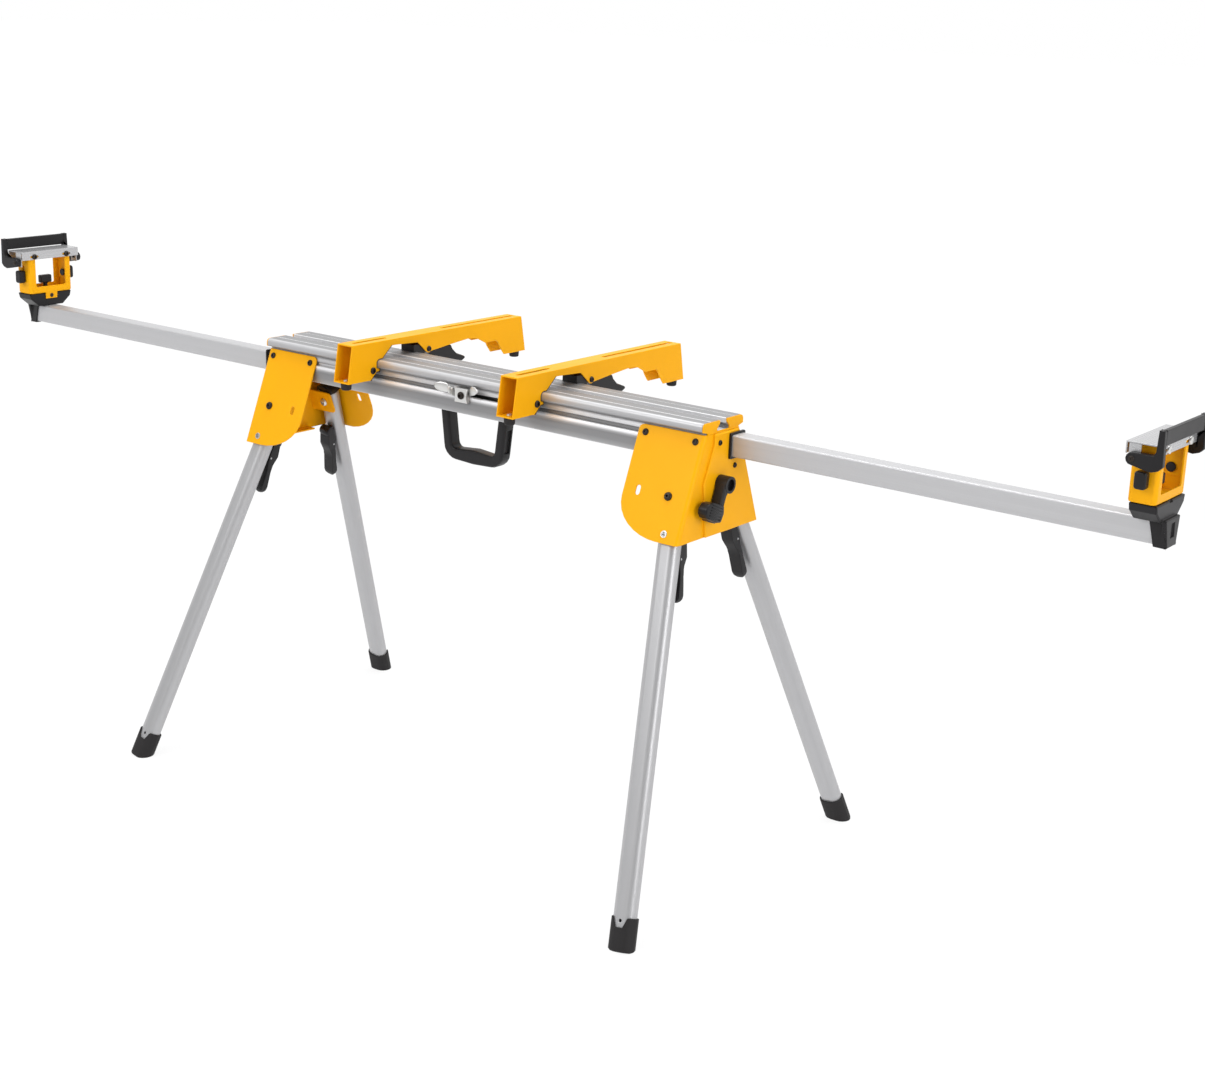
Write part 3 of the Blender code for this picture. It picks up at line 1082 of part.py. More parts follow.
def flip_stops():
    """The stop: a fence across the top on two side arms that pivot at the inner edge."""
    x, y = SUPPORT_REACH, TUBE_Y
    pivot = (STOP_PIVOT_X, STOP_PIVOT_HEIGHT)
    arm_inner, arm_outer = TOP_HALF_LENGTH + GAP, STOP_HALF_LENGTH
    run = STOP_FRONT - STOP_PIVOT_X
    profile = arc(pivot, STOP_BOSS, 90, 270, 6)
    bends = [STOP_PIVOT_X + run * share for share in STOP_BEND_SHARES]
    profile += [(bends[0], STOP_ARM_LOW + STOP_BOSS / 5), (bends[1], STOP_ARM_LOW),
                (bends[2], STOP_ARM_LOW + STOP_BOSS / 3), (STOP_FRONT, STOP_ARM_LOW + STOP_BOSS),
                (STOP_FRONT - STOP_TAPER, STOP_TOP), (STOP_BACK + STOP_TAPER, STOP_TOP),
                (STOP_BACK, STOP_PIVOT_HEIGHT + STOP_NECK),
                (STOP_BACK - STOP_BOSS / 3, STOP_PIVOT_HEIGHT + STOP_BOSS)]
    outline = [(x + run_x, BEAM_TOP + rise) for run_x, rise in profile]
    arms = []
    for side in (-1, 1):
        low, high = sorted((y + side * arm_inner, y + side * arm_outer))
        arms.append(bevel(across(outline, low, high), HEAD_BLOCK_EDGE / 2))
    inset = PLATE_STEP
    fence = box((x + STOP_BACK + STOP_TAPER + inset, y - arm_inner - inset, BEAM_TOP + STOP_FENCE_LOW),
                (x + STOP_FRONT - STOP_TAPER - inset, y + arm_inner + inset, BEAM_TOP + STOP_TOP - inset))
    pins = []
    for side in (-1, 1):
        centre = Vector((x + STOP_PIVOT_X, y, BEAM_TOP + STOP_PIVOT_HEIGHT))
        pins.append(cylinder(centre + Vector((0.0, side * (arm_inner - 2 * TOP_PLATE), 0.0)),
                             centre + Vector((0.0, side * (arm_inner + STOP_PIN), 0.0)), STOP_PIN, None,
                             SMALL_SIDES))
    made = join(fence, *arms, *pins)
    pair(made, "flip_stop", "black", (x + STOP_PIVOT_X, y, BEAM_TOP + STOP_PIVOT_HEIGHT))


def swivel_knobs():
    """The knob inside the frame that holds it down on the end bracket."""
    x, y = SUPPORT_REACH, TUBE_Y
    outline = rounded(SWIVEL_HALF_WIDTH, (SWIVEL_HIGH - SWIVEL_LOW) / 2, SWIVEL_STEM / 2, 3,
                      (y, BEAM_TOP + (SWIVEL_LOW + SWIVEL_HIGH) / 2))
    wing = bevel(along(outline, x - SWIVEL_HALF_DEPTH, x + SWIVEL_HALF_DEPTH), HEAD_BLOCK_EDGE)
    stem = cylinder((x, y, BEAM_TOP + SHEET + GAP), (x, y, BEAM_TOP + SWIVEL_LOW + SHEET), SWIVEL_STEM,
                    None, SMALL_SIDES)
    foot = cylinder((x, y, BEAM_TOP + SHEET + GAP), (x, y, BEAM_TOP + 2 * SHEET), SWIVEL_STEM + TOP_PLATE,
                    None, SMALL_SIDES)
    pair(join(wing, stem, foot), "swivel_knob", "black", (x, y, BEAM_TOP))


def height_knobs():
    """Two knobs on each support that clamp the carrier in the frame."""
    x, y, z = SUPPORT_REACH, TUBE_Y, BEAM_TOP + KNOB_HEIGHT
    for side, near, far in ((-1, "front", "rear"), (1, "rear", "front")):
        wall = FRAME_HALF_WIDTH + GAP
        carrier = FRAME_HALF_WIDTH - SHEET - GAP - TOP_PLATE - GAP
        low, high = sorted((y + side * wall, y + side * (wall + KNOB_THICK)))
        outline = rounded(KNOB_HALF_WIDTH, KNOB_HALF_HEIGHT, KNOB_HALF_WIDTH / 2, 3, (x, z))
        grip = bevel(across(outline, low, high), LEVER_EDGE)
        stem = cylinder((x, y + side * (carrier - KNOB_NUT_THICK / 2), z),
                        (x, y + side * (wall + KNOB_THICK / 2), z),
                        KNOB_STEM, None, SMALL_SIDES)
        nut = cylinder((x, y + side * (carrier - KNOB_NUT_THICK), z), (x, y + side * carrier, z), KNOB_NUT,
                       None,
                       SMALL_SIDES)
        made = finish(join(grip, stem, nut), "height_knob_right_" + near, "black", (x, y + side * wall, z))
        turned(made, "height_knob_left_" + far)


def arm_profile():
    """Side outline of a saw arm: front box, hook over the head, arch, ear and rear box."""
    clear = GAP
    hook = [(ARM_FOOT_REAR, ARM_LOW), (-HEAD_HALF_WIDTH, HOOK_LOW), (HOOK_LIP, HOOK_LOW),
            (HOOK_LIP, -(GROOVE_DEPTH - PLATE_STEP) + clear),
            (-HEAD_HALF_WIDTH - clear, -HEAD_DEPTH - clear)]
    corner = (-HEAD_HALF_WIDTH + HEAD_CORNER, -HEAD_CORNER)
    hook += arc(corner, HEAD_CORNER + clear, 180, 90, 4)
    arch = [(ARCH_START, clear), *ARM_ARCH]
    ear = arc((EAR_Y, EAR_Z), EAR_RADIUS, 225, 315, 3)
    rear = [*ARM_UNDERSIDE, (ARM_FOOT_START, ARM_LOW), (ARM_REAR, ARM_LOW),
            (ARM_REAR - ARM_REAR_LEAN, ARM_TOP)]
    return [(ARM_FRONT, ARM_LOW), *hook, *arch, *ear, *rear, (ARM_FRONT + ARM_FRONT_LEAN, ARM_TOP)]


def saw_arms():
    """Folded sheet arms with their jaws, clamp levers, rubber bumpers and bolts."""
    for name, x in ARM_PLACES.items():
        half = ARM_WIDTH / 2
        body = along([(y, BEAM_TOP + z) for y, z in arm_profile()], x - half, x + half)
        skin = ARM_SHEET
        inside = [(ARM_FRONT - OVERRUN, ARM_TOP - skin), (ARM_REAR - 3 * SHEET, ARM_TOP - skin),
                  (ARM_REAR - 2 * SHEET, ARM_LOW - OVERRUN), (ARM_FOOT_REAR - skin, ARM_LOW - OVERRUN),
                  (ARM_FOOT_REAR - skin, ARM_LOW + skin), (ARM_FRONT - OVERRUN, ARM_LOW + skin)]
        tools = [along([(y, BEAM_TOP + z) for y, z in inside], x - half + skin, x + half - skin)]
        for low, high in ARM_SLOTS:
            slot = rounded(ARM_SLOT_HALF, (high - low) / 2, ARM_SLOT_HALF - GAP, 3, (x, (low + high) / 2))
            place = frame_matrix((0.0, 0.0, BEAM_TOP + ARM_TOP), (1, 0, 0), (0, 1, 0))
            tools.append(prism(slot, 2 * OVERRUN, place))
        for y, z in ((EAR_Y, EAR_Z), (FRONT_BOLT_Y, FRONT_BOLT_Z)):
            tools.append(cylinder((x - half - OVERRUN, y, BEAM_TOP + z),
                                  (x + half + OVERRUN, y, BEAM_TOP + z),
                                  ARM_BOLT + GAP, None, SMALL_SIDES))
        origin = (x, 0.0, BEAM_TOP)
        body = join(cut(body, *tools), cross_bolt(x, FRONT_BOLT_Y, FRONT_BOLT_Z, -GAP))
        finish(body, "saw_arm_" + name, "yellow", origin)
        finish(arm_jaw(x), "arm_jaw_" + name, "black", origin)
        finish(clamp_lever(x), "arm_clamp_lever_" + name, "black", (x, EAR_Y, BEAM_TOP + EAR_Z))
        finish(cross_bolt(x, EAR_Y, EAR_Z, GAP), "ear_bolt_" + name, "dark", origin)
        for place, y in BUMPER_PLACES.items():
            finish(arm_bumper(x, y), "arm_bumper_" + name + "_" + place, "rubber", origin)


def arm_jaw(x):
    """The jaw between the arm's sides, which hooks under the beam's rear head."""
    half = ARM_WIDTH / 2 - ARM_SHEET - GAP
    clear = GAP
    outline = [(HEAD_HALF_WIDTH - 2 * HEAD_CORNER, clear)]
    outline += arc((HEAD_HALF_WIDTH - HEAD_CORNER, -HEAD_CORNER), HEAD_CORNER + clear, 90, 0, 4)
    outline += [(HEAD_HALF_WIDTH + clear, -HEAD_DEPTH - clear),
                (-HOOK_LIP, -(GROOVE_DEPTH - PLATE_STEP) + clear),
                (-HOOK_LIP, JAW_LOW), (HEAD_HALF_WIDTH + SHEET, JAW_LOW), (JAW_REAR - SHEET, -HEAD_DEPTH),
                (EAR_Y - EAR_RADIUS - clear, -EAR_RADIUS), (EAR_Y - EAR_RADIUS - clear, EAR_RADIUS),
                (JAW_REAR - SHEET, JAW_TOP), (HEAD_HALF_WIDTH - 2 * HEAD_CORNER, JAW_TOP)]
    return along([(y, BEAM_TOP + z) for y, z in outline], x - half, x + half)


# The clamp lever's outline behind its hub: share of its reach, share of its drop
CLAMP_OUTLINE_SHARES = ((0.0, -0.12), (0.22, -0.06), (0.64, 0.08), (0.68, 0.32), (0.78, 0.62), (0.99, 0.88),
                        (1.0, 1.0),
                        (0.92, 1.12), (0.66, 1.0), (0.40, 0.80), (0.18, 0.60), (0.02, 0.15))


def clamp_lever(x):
    """The lever that tightens the jaw, turning on the ear bolt between the arm's sides."""
    outline = [(EAR_Y + share * CLAMP_REACH, BEAM_TOP + EAR_Z - drop * CLAMP_DROP)
               for share, drop in CLAMP_OUTLINE_SHARES]
    blade = along(outline, x - CLAMP_WIDTH / 2, x + CLAMP_WIDTH / 2)
    hub = cylinder((x - CLAMP_WIDTH / 2 - SHEET, EAR_Y, BEAM_TOP + EAR_Z),
                   (x + CLAMP_WIDTH / 2 + SHEET, EAR_Y, BEAM_TOP + EAR_Z),
                   EAR_RADIUS)
    bore = cylinder((x - ARM_WIDTH, EAR_Y, BEAM_TOP + EAR_Z), (x + ARM_WIDTH, EAR_Y, BEAM_TOP + EAR_Z),
                    ARM_BOLT + GAP,
                    None, SMALL_SIDES)
    return cut(join(bevel(blade, LEVER_EDGE), hub), bore)


def arm_bumper(x, y):
    """A rubber bumper under an end of an arm."""
    low = BEAM_TOP + ARM_LOW - BUMPER_HEIGHT
    stud = cylinder((x, y, low), (x, y, BEAM_TOP + ARM_LOW - GAP), BUMPER_RADIUS * BUMPER_TAPER_SHARE,
                    BUMPER_RADIUS)
    return bevel(stud, BUMPER_BEVEL)


def cross_bolt(x, y, z, clearance):
    """A bolt across an arm, with its head on the right and its nut on the left."""
    face = ARM_WIDTH / 2 + clearance
    centre = Vector((x, y, BEAM_TOP + z))
    shaft = cylinder(centre - Vector((face + ARM_BOLT / 2, 0, 0)),
                     centre + Vector((face + ARM_BOLT_RISE / 4, 0, 0)),
                     ARM_BOLT, None, SMALL_SIDES)
    head = button_screw(centre + Vector((face, 0, 0)), Vector((1, 0, 0)), ARM_BOLT_HEAD, ARM_BOLT_RISE,
                        SCREW_SOCKET)
    nut = cylinder(centre - Vector((face, 0, 0)), centre - Vector((face + ARM_BOLT, 0, 0)), ARM_BOLT_HEAD,
                   None, 6)
    return join(shaft, head, nut)


def carry_handle():
    """The U shaped handle under the middle of the beam."""
    top = height(BEAM_DEPTH) - GAP
    low = top - HANDLE_DROP
    inner_low = low + HANDLE_GRIP
    inner_top, inner_bottom = HANDLE_TOP_HALF - HANDLE_LIMB, HANDLE_LOW_HALF - HANDLE_LIMB
    right = [(inner_top, top), (HANDLE_TOP_HALF, top)]
    right += arc((HANDLE_LOW_HALF - HANDLE_CORNER, low + HANDLE_SAG + HANDLE_CORNER), HANDLE_CORNER, 0, -90,
                 5)
    right.append((0.0, low))
    bend = HANDLE_INNER_CORNER
    inner = arc((inner_bottom - bend, inner_low + bend), bend, -90, 0, 3)
    outline = right + [(-x, z) for x, z in reversed(right[:-1])]
    outline += [(-x, z) for x, z in reversed(inner)] + [(0.0, inner_low + HANDLE_ARCH)] + inner
    outline = [(HANDLE_X + x, z) for x, z in outline]
    made = bevel(across(outline, -HANDLE_HALF_DEPTH, HANDLE_HALF_DEPTH), HANDLE_EDGE, 2)
    finish(made, "carry_handle", "black")


def centre_clip():
    """The bright clip in the front slot, with two wings and a bolt."""
    clear = GAP / math.cos(LEG_SPLAY)
    back = [(-(BODY_TOP_HALF + (drop - BODY_TOP) * LEAN + clear), height(drop))
            for drop in (BODY_TOP, BODY_KNEE)]
    outline = [(-CLIP_FRONT, height(CLIP_TOP)), (back[0][0], height(CLIP_TOP)), back[0], back[1],
               (back[1][0], height(CLIP_LOW)), (-CLIP_FRONT, height(CLIP_LOW))]
    block = along(outline, CLIP_X - CLIP_HALF, CLIP_X + CLIP_HALF)
    waist_z = height((CLIP_TOP + CLIP_LOW) / 2)
    bites = []
    for side in (-1, 1):
        centre_x = CLIP_X + side * (CLIP_HALF + 2 * CLIP_WAIST)
        bites.append(cylinder((centre_x, -CLIP_FRONT - OVERRUN, waist_z), (centre_x, 0.0, waist_z),
                              3 * CLIP_WAIST))
    wings = []
    for low_x, high_x, top, low in (LEFT_WING, RIGHT_WING):
        near = min(abs(low_x), abs(high_x)) < CLIP_HALF + 2 * CLIP_WAIST
        root = CLIP_WAIST if near else 0.0
        outer, inner = (low_x, high_x + CLIP_HALF) if high_x < 0 else (high_x, low_x - CLIP_WAIST)
        shape = [(outer, height(top)), (inner, height(top + CLIP_WAIST)), (inner, height(low)),
                 (outer, height(top + (low - top) / 2 + root))]
        wings.append(across([(CLIP_X + x, z) for x, z in shape], -WING_FRONT, -WING_BACK))
    made = join(cut(block, *bites), *wings)
    finish(made, "centre_clip", "bright")
    bolt_foot = Vector((CLIP_X, -CLIP_FRONT - GAP, waist_z))
    bolt = button_screw(bolt_foot, Vector((0, -1, 0)), CLIP_BOLT, CLIP_BOLT_RISE, SCREW_SOCKET)
    finish(bolt, "centre_clip_bolt", "dark")


beam()
brackets()
tube_collars()
cam_levers()
extension_tubes()
legs()
end_brackets()
support_frames()
support_carriers()
support_tops()
flip_stops()
swivel_knobs()
height_knobs()
saw_arms()
carry_handle()
centre_clip()
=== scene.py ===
"""Folding miter saw stand: finishes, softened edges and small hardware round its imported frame.

Every operator below makes one piece or one group of like pieces in the stand's own frame: metres,
+X along the beam, +Y to the back, +Z up, with the floor at zero. A drop is measured down from the
beam's top.
"""
import json
import math

import bmesh
import bpy
from mathutils import Matrix, Vector


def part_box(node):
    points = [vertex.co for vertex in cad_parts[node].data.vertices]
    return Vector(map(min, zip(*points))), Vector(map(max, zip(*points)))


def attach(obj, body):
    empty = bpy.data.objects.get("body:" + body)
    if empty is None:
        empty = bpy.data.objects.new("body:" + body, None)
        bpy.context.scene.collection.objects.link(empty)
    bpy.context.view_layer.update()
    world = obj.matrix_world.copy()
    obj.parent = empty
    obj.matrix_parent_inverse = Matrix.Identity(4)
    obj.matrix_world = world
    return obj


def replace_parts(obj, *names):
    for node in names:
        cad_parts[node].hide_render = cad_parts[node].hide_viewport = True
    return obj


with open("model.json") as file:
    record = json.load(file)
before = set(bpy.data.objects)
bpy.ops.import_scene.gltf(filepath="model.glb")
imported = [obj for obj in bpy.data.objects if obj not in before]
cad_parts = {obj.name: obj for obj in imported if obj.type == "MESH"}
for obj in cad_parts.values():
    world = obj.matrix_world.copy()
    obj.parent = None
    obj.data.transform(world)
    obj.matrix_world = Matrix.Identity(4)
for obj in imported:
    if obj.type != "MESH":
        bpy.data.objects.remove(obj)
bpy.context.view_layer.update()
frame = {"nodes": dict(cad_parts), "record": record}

bl_info = {
    "name": "Miter Saw Stand",
    "version": (1, 0, 0),
    "blender": (4, 5, 0),
    "location": "View3D > Sidebar > Saw Stand",
    "description": "Builds a folding miter saw stand round its packed frame",
    "category": "Add Mesh",
}

SIDES = ("left", "right")
ENDS = ("front", "rear")
ROOT = "stand_frame"
BEAM_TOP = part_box("beam")[1].z
BODY_OF = {node: body for body, nodes in frame["record"]["behaviour"]["bodies"].items() for node in nodes}


def a_length(name, default, description):
    """A length that a user may change."""
    return bpy.props.FloatProperty(name=name, description=description, default=default, unit="LENGTH")


def a_colour(name, default, description):
    """A colour that a user may change."""
    return bpy.props.FloatVectorProperty(name=name, description=description, default=default,
                                         subtype="COLOR", size=3)


class StandSizes(bpy.types.PropertyGroup):
    """Sizes that a user may change."""
    sheet_edge: a_length("Sheet Edge", 0.0006, "Radius on the edges of folded sheet")
    plastic_edge: a_length("Plastic Edge", 0.0011, "Radius on the edges of moulded pieces")
    metal_edge: a_length("Metal Edge", 0.00035, "Radius on the edges of extruded and turned metal")
    edge_steps: bpy.props.IntProperty(
        name="Edge Steps", description="Faces across a rounded edge", default=3, min=1, max=8)
    plate_screw: a_length("Plate Screws", 0.0058, "Head radius of the screws in the side plates")
    pivot_head: a_length("Pivot Heads", 0.0072, "Head radius of the legs' pivot bolts")
    flange_screw: a_length("Flange Screws", 0.0062, "Head radius of the bright screws in the support tops")
    hook_bolt: a_length("Hook Bolts", 0.0063, "Head radius of the bolts through the saw arms' hooks")


class StandColours(bpy.types.PropertyGroup):
    """Colours of the stand's finishes."""
    paint: a_colour("Paint", (0.87, 0.400, 0.0025), "Powder coat on sheet metal")
    metal: a_colour("Aluminium", (0.47, 0.47, 0.48), "Bare extruded aluminium")
    plastic: a_colour("Plastic", (0.0085, 0.0078, 0.0088), "Black moulded plastic")
    rubber: a_colour("Rubber", (0.015, 0.0138, 0.0145), "Feet and bumpers")
    zinc: a_colour("Zinc", (0.76, 0.755, 0.74), "Plated screws and pins")
    blackened: a_colour("Blackened Steel", (0.045, 0.038, 0.034), "Dark socket screws")


def sizes():
    """The sizes that the sidebar shows."""
    return bpy.context.scene.stand_sizes


def colours():
    """The colours that the sidebar shows."""
    return bpy.context.scene.stand_colours


# Single nodes

def feed(tree, socket, value):
    """Gives a socket another node's output, or a plain value."""
    if isinstance(value, bpy.types.NodeSocket):
        tree.links.new(value, socket)
    else:
        socket.default_value = value


def feed_all(tree, node, inputs):
    """Gives a node's named inputs their outputs or values."""
    for key, value in inputs.items():
        feed(tree, node.inputs[key], value)
    return node.outputs


def math_node(tree, operation, *values, clamp=False):
    """A Math node fed by sockets or plain numbers."""
    node = tree.nodes.new("ShaderNodeMath")
    node.operation = operation
    node.use_clamp = clamp
    for socket, value in zip(node.inputs, values):
        feed(tree, socket, value)
    return node.outputs[0]


def vector_node(tree, operation, *values):
    """A Vector Math node fed by sockets or plain vectors."""
    node = tree.nodes.new("ShaderNodeVectorMath")
    node.operation = operation
    for socket, value in zip(node.inputs, values):
        feed(tree, socket, value)
    return node.outputs


def split_xyz(tree, vector):
    """The X, Y and Z of a vector."""
    node = tree.nodes.new("ShaderNodeSeparateXYZ")
    tree.links.new(vector, node.inputs[0])
    return node.outputs


def noise(tree, vector, scale, detail, rough):
    """A Noise texture's factor."""
    inputs = {"Vector": vector, "Scale": scale, "Detail": detail, "Roughness": rough}
    return feed_all(tree, tree.nodes.new("ShaderNodeTexNoise"), inputs)["Fac"]


def blend_colours(tree, mask, low, high):
    """A colour between two, by a mask."""
    node = tree.nodes.new("ShaderNodeMix")
    node.data_type = "RGBA"
    tree.links.new(mask, node.inputs["Factor"])
    for socket, colour in ((node.inputs[6], low), (node.inputs[7], high)):
        feed(tree, socket, colour if isinstance(colour, bpy.types.NodeSocket) else (*colour, 1.0))
    return node.outputs[2]


def ranged(tree, mask, low, high):
    """A mask brought between two values."""
    return math_node(tree, "MULTIPLY_ADD", mask, high - low, low)


def eased(tree, value, *limits):
    """A value brought smoothly from one range to another."""
    node = tree.nodes.new("ShaderNodeMapRange")
    node.interpolation_type = "SMOOTHSTEP"
    keys = ("Value", "From Min", "From Max", "To Min", "To Max")
    return feed_all(tree, node, dict(zip(keys, (value, *limits))))["Result"]


# Shader node groups, each built once

def node_group(**inputs):
    """Turns a function that makes nodes into one that gives their group, with a vector and these inputs."""
    def maker(make):
        def give():
            name = make.__name__
            if name in bpy.data.node_groups:
                return bpy.data.node_groups[name]
            group = bpy.data.node_groups.new(name, "ShaderNodeTree")
            for key, value in {"Vector": (0.0, 0.0, 0.0), **inputs}.items():
                kind = "NodeSocketFloat" if isinstance(value, float) else "NodeSocketVector"
                group.interface.new_socket(name=key, in_out="INPUT", socket_type=kind).default_value = value
            results = make(group, group.nodes.new("NodeGroupInput").outputs)
            leave = group.nodes.new("NodeGroupOutput").inputs
            for key, result in results.items():
                group.interface.new_socket(name=key, in_out="OUTPUT", socket_type="NodeSocketFloat")
                group.links.new(result, leave[key])
            return group
        return give
    return maker


@node_group(Fineness=900.0)
def draw_lines(group, entry):
    """Lines left by drawing metal along X, fine and broad, with a height for bump."""
    stretch = group.nodes.new("ShaderNodeCombineXYZ")
    for axis, value in zip("XYZ", (2.5, entry["Fineness"], entry["Fineness"])):
        feed(group, stretch.inputs[axis], value)
    drawn = vector_node(group, "MULTIPLY", entry["Vector"], stretch.outputs["Vector"])["Vector"]
    fine = noise(group, drawn, 1.0, 2.0, 0.6)
    broad = noise(group, drawn, 0.11, 3.0, 0.6)
    mixed = math_node(group, "MULTIPLY_ADD", fine, 0.4, math_node(group, "MULTIPLY", broad, 0.6))
    return {"Mask": mixed, "Height": fine}


@node_group(Distance=0.033, Width=0.0006, Level=0.788)
def score_lines(group, entry):
    """Painted white highlight lines along X at one distance from the middle, on the top face alone."""
    parts = split_xyz(group, entry["Vector"])
    across = math_node(group, "ABSOLUTE", parts["Y"])
    away = math_node(group, "ABSOLUTE", math_node(group, "SUBTRACT", across, entry["Distance"]))
    on_line = math_node(group, "LESS_THAN", away, entry["Width"])
    on_top = math_node(group, "GREATER_THAN", parts["Z"], entry["Level"])
    return {"Mask": math_node(group, "MULTIPLY", on_line, on_top)}


@node_group(Reach=0.01, Low=0.0, High=0.788)
def channel_walls(group, entry):
    """The walls inside a long channel: nearer the middle than its mouth, and between two levels."""
    parts = split_xyz(group, entry["Vector"])
    inside = math_node(group, "LESS_THAN", math_node(group, "ABSOLUTE", parts["Y"]), entry["Reach"])
    above = math_node(group, "GREATER_THAN", parts["Z"], entry["Low"])
    below = math_node(group, "LESS_THAN", parts["Z"], entry["High"])
    return {"Mask": math_node(group, "MULTIPLY", math_node(group, "MULTIPLY", above, below), inside)}


@node_group()
def smudges(group, entry):
    """Soft uneven patches of handling, from 0 to 1."""
    patches = noise(group, entry["Vector"], 7.0, 5.0, 0.6)
    return {"Mask": math_node(group, "MULTIPLY_ADD", patches, 2.6, -0.8, clamp=True)}


@node_group(Grain=(900.0, 900.0, 900.0))
def fine_skin(group, entry):
    """The fine skin of a powder coat, a moulded surface or a plating, as a height."""
    scaled = vector_node(group, "MULTIPLY", entry["Vector"], entry["Grain"])["Vector"]
    return {"Height": noise(group, scaled, 1.0, 2.0, 0.55)}


# Finishes

def start_material(name, strength, distance):
    """A material with its shader, its object coordinates and the height socket of its bump."""
    made = bpy.data.materials.new(name)
    made.use_nodes = True
    tree = made.node_tree
    shader = tree.nodes["Principled BSDF"]
    coordinates = tree.nodes.new("ShaderNodeTexCoord").outputs["Object"]
    bump = tree.nodes.new("ShaderNodeBump")
    bumped = feed_all(tree, bump, {"Strength": strength, "Distance": distance})
    tree.links.new(bumped["Normal"], shader.inputs["Normal"])
    return made, tree, shader, coordinates, bump.inputs["Height"]


def use_group(tree, group, vector, values=()):
    """The outputs of a group placed in a material with its own values."""
    node = tree.nodes.new("ShaderNodeGroup")
    node.node_tree = group
    return feed_all(tree, node, {"Vector": vector, **dict(values)})


def shade(colour, share):
    """A colour made lighter or darker."""
    return tuple(channel * share for channel in colour)


# Painted highlights and shade along the beam in bands by drop: how bright each band is painted, over a ramp of this
# span
BAND_SPAN = 0.07
PAINTED_LIGHT_BANDS = ((0.0000, 0.60), (0.0009, 1.40), (0.0035, 1.12), (0.0120, 0.90), (0.0155, 0.55), (0.0180, 0.80),
              (0.0230, 1.20), (0.0275, 1.00), (0.0345, 1.80), (0.0385, 1.80), (0.0425, 0.80), (0.0455, 0.55),
              (0.0560, 0.58), (0.0640, 0.80), (0.0665, 1.20))
# The beam's open channels: how far their walls are from the middle, and their lowest and highest level
CHANNELS = ((0.0105, -0.0400, -0.0006), (0.0490, -0.0345, -0.0280))
# A lighter grey painted on the channel walls: painted light standing in for light reflected into the shaded slots
CHANNEL_PAINTED_LIGHT = (0.60, 0.60, 0.61)
# Painted highlight lines along the beam's top: distance from its middle and half width
HIGHLIGHT_LINES = ((0.0335, 0.0007), (0.0104, 0.0005))
HIGHLIGHT_WHITE = (0.92, 0.92, 0.93)
BARE_METAL = 0.56


def banded(tree, coordinates, colour):
    """A colour multiplied by the beam's bands of painted highlight and shade."""
    height = split_xyz(tree, coordinates)["Z"]
    drop = math_node(tree, "MULTIPLY_ADD", height, -1.0 / BAND_SPAN, BEAM_TOP / BAND_SPAN)
    ramp = tree.nodes.new("ShaderNodeValToRGB")
    tree.links.new(drop, ramp.inputs["Fac"])
    while len(ramp.color_ramp.elements) < len(PAINTED_LIGHT_BANDS):
        ramp.color_ramp.elements.new(0.5)
    for element, (depth, tone) in zip(ramp.color_ramp.elements, PAINTED_LIGHT_BANDS):
        element.position = depth / BAND_SPAN
        element.color = (tone / 2, tone / 2, tone / 2, 1.0)
    halved = vector_node(tree, "MULTIPLY", colour, ramp.outputs["Color"])["Vector"]
    return vector_node(tree, "MULTIPLY", halved, (2.0, 2.0, 2.0))["Vector"]


def beam_marks(tree, shader, coordinates, colour):
    """The beam's painted light: bands of painted highlight and shade, channel walls painted a lighter grey, and
    bright painted highlight lines.
    """
    # Bands of painted highlight and shade by drop
    colour = banded(tree, coordinates, colour)
    # Channel walls painted a lighter, less metallic grey, as painted light in the shaded slots
    walls = 0.0
    for reach, low, high in CHANNELS:
        wall = use_group(tree, channel_walls(), coordinates,
                         {"Reach": reach, "Low": BEAM_TOP + low, "High": BEAM_TOP + high})["Mask"]
        walls = math_node(tree, "MAXIMUM", wall, walls)
        colour = blend_colours(tree, wall, colour, CHANNEL_PAINTED_LIGHT)
    tree.links.new(ranged(tree, walls, BARE_METAL, 0.05), shader.inputs["Metallic"])
    # Bright painted highlight lines along the top
    for distance, half_width in HIGHLIGHT_LINES:
        line = use_group(tree, score_lines(), coordinates,
                         {"Distance": distance, "Width": half_width, "Level": BEAM_TOP - 0.001})["Mask"]
        colour = blend_colours(tree, line, colour, HIGHLIGHT_WHITE)
    return colour


def aluminium(name, direction=(1.0, 0.0, 0.0), tone=1.0, smooth=0.30, painted_light=None):
    """Drawn aluminium whose lines follow a direction, with any painted light a piece is given over them."""
    if name in bpy.data.materials:
        return bpy.data.materials[name]
    made, tree, shader, coordinates, height = start_material(name, 0.12, 0.0003)
    turn = Vector(direction).rotation_difference(Vector((1, 0, 0))).to_euler()
    mapping = tree.nodes.new("ShaderNodeMapping")
    along = feed_all(tree, mapping, {"Vector": coordinates, "Rotation": turn})["Vector"]
    lines = use_group(tree, draw_lines(), along, {"Fineness": 700.0})
    metal = colours().metal
    colour = blend_colours(tree, lines["Mask"], shade(metal, 0.86 * tone), shade(metal, 1.10 * tone))
    rough = ranged(tree, lines["Mask"], smooth - 0.06, smooth + 0.12)
    feed_all(tree, shader, {"Metallic": BARE_METAL, "Roughness": rough})
    # Painted light that a piece is given, such as the beam's bands and highlight lines
    if painted_light:
        colour = painted_light(tree, shader, coordinates, colour)
    tree.links.new(colour, shader.inputs["Base Color"])
    tree.links.new(lines["Height"], height)
    return made


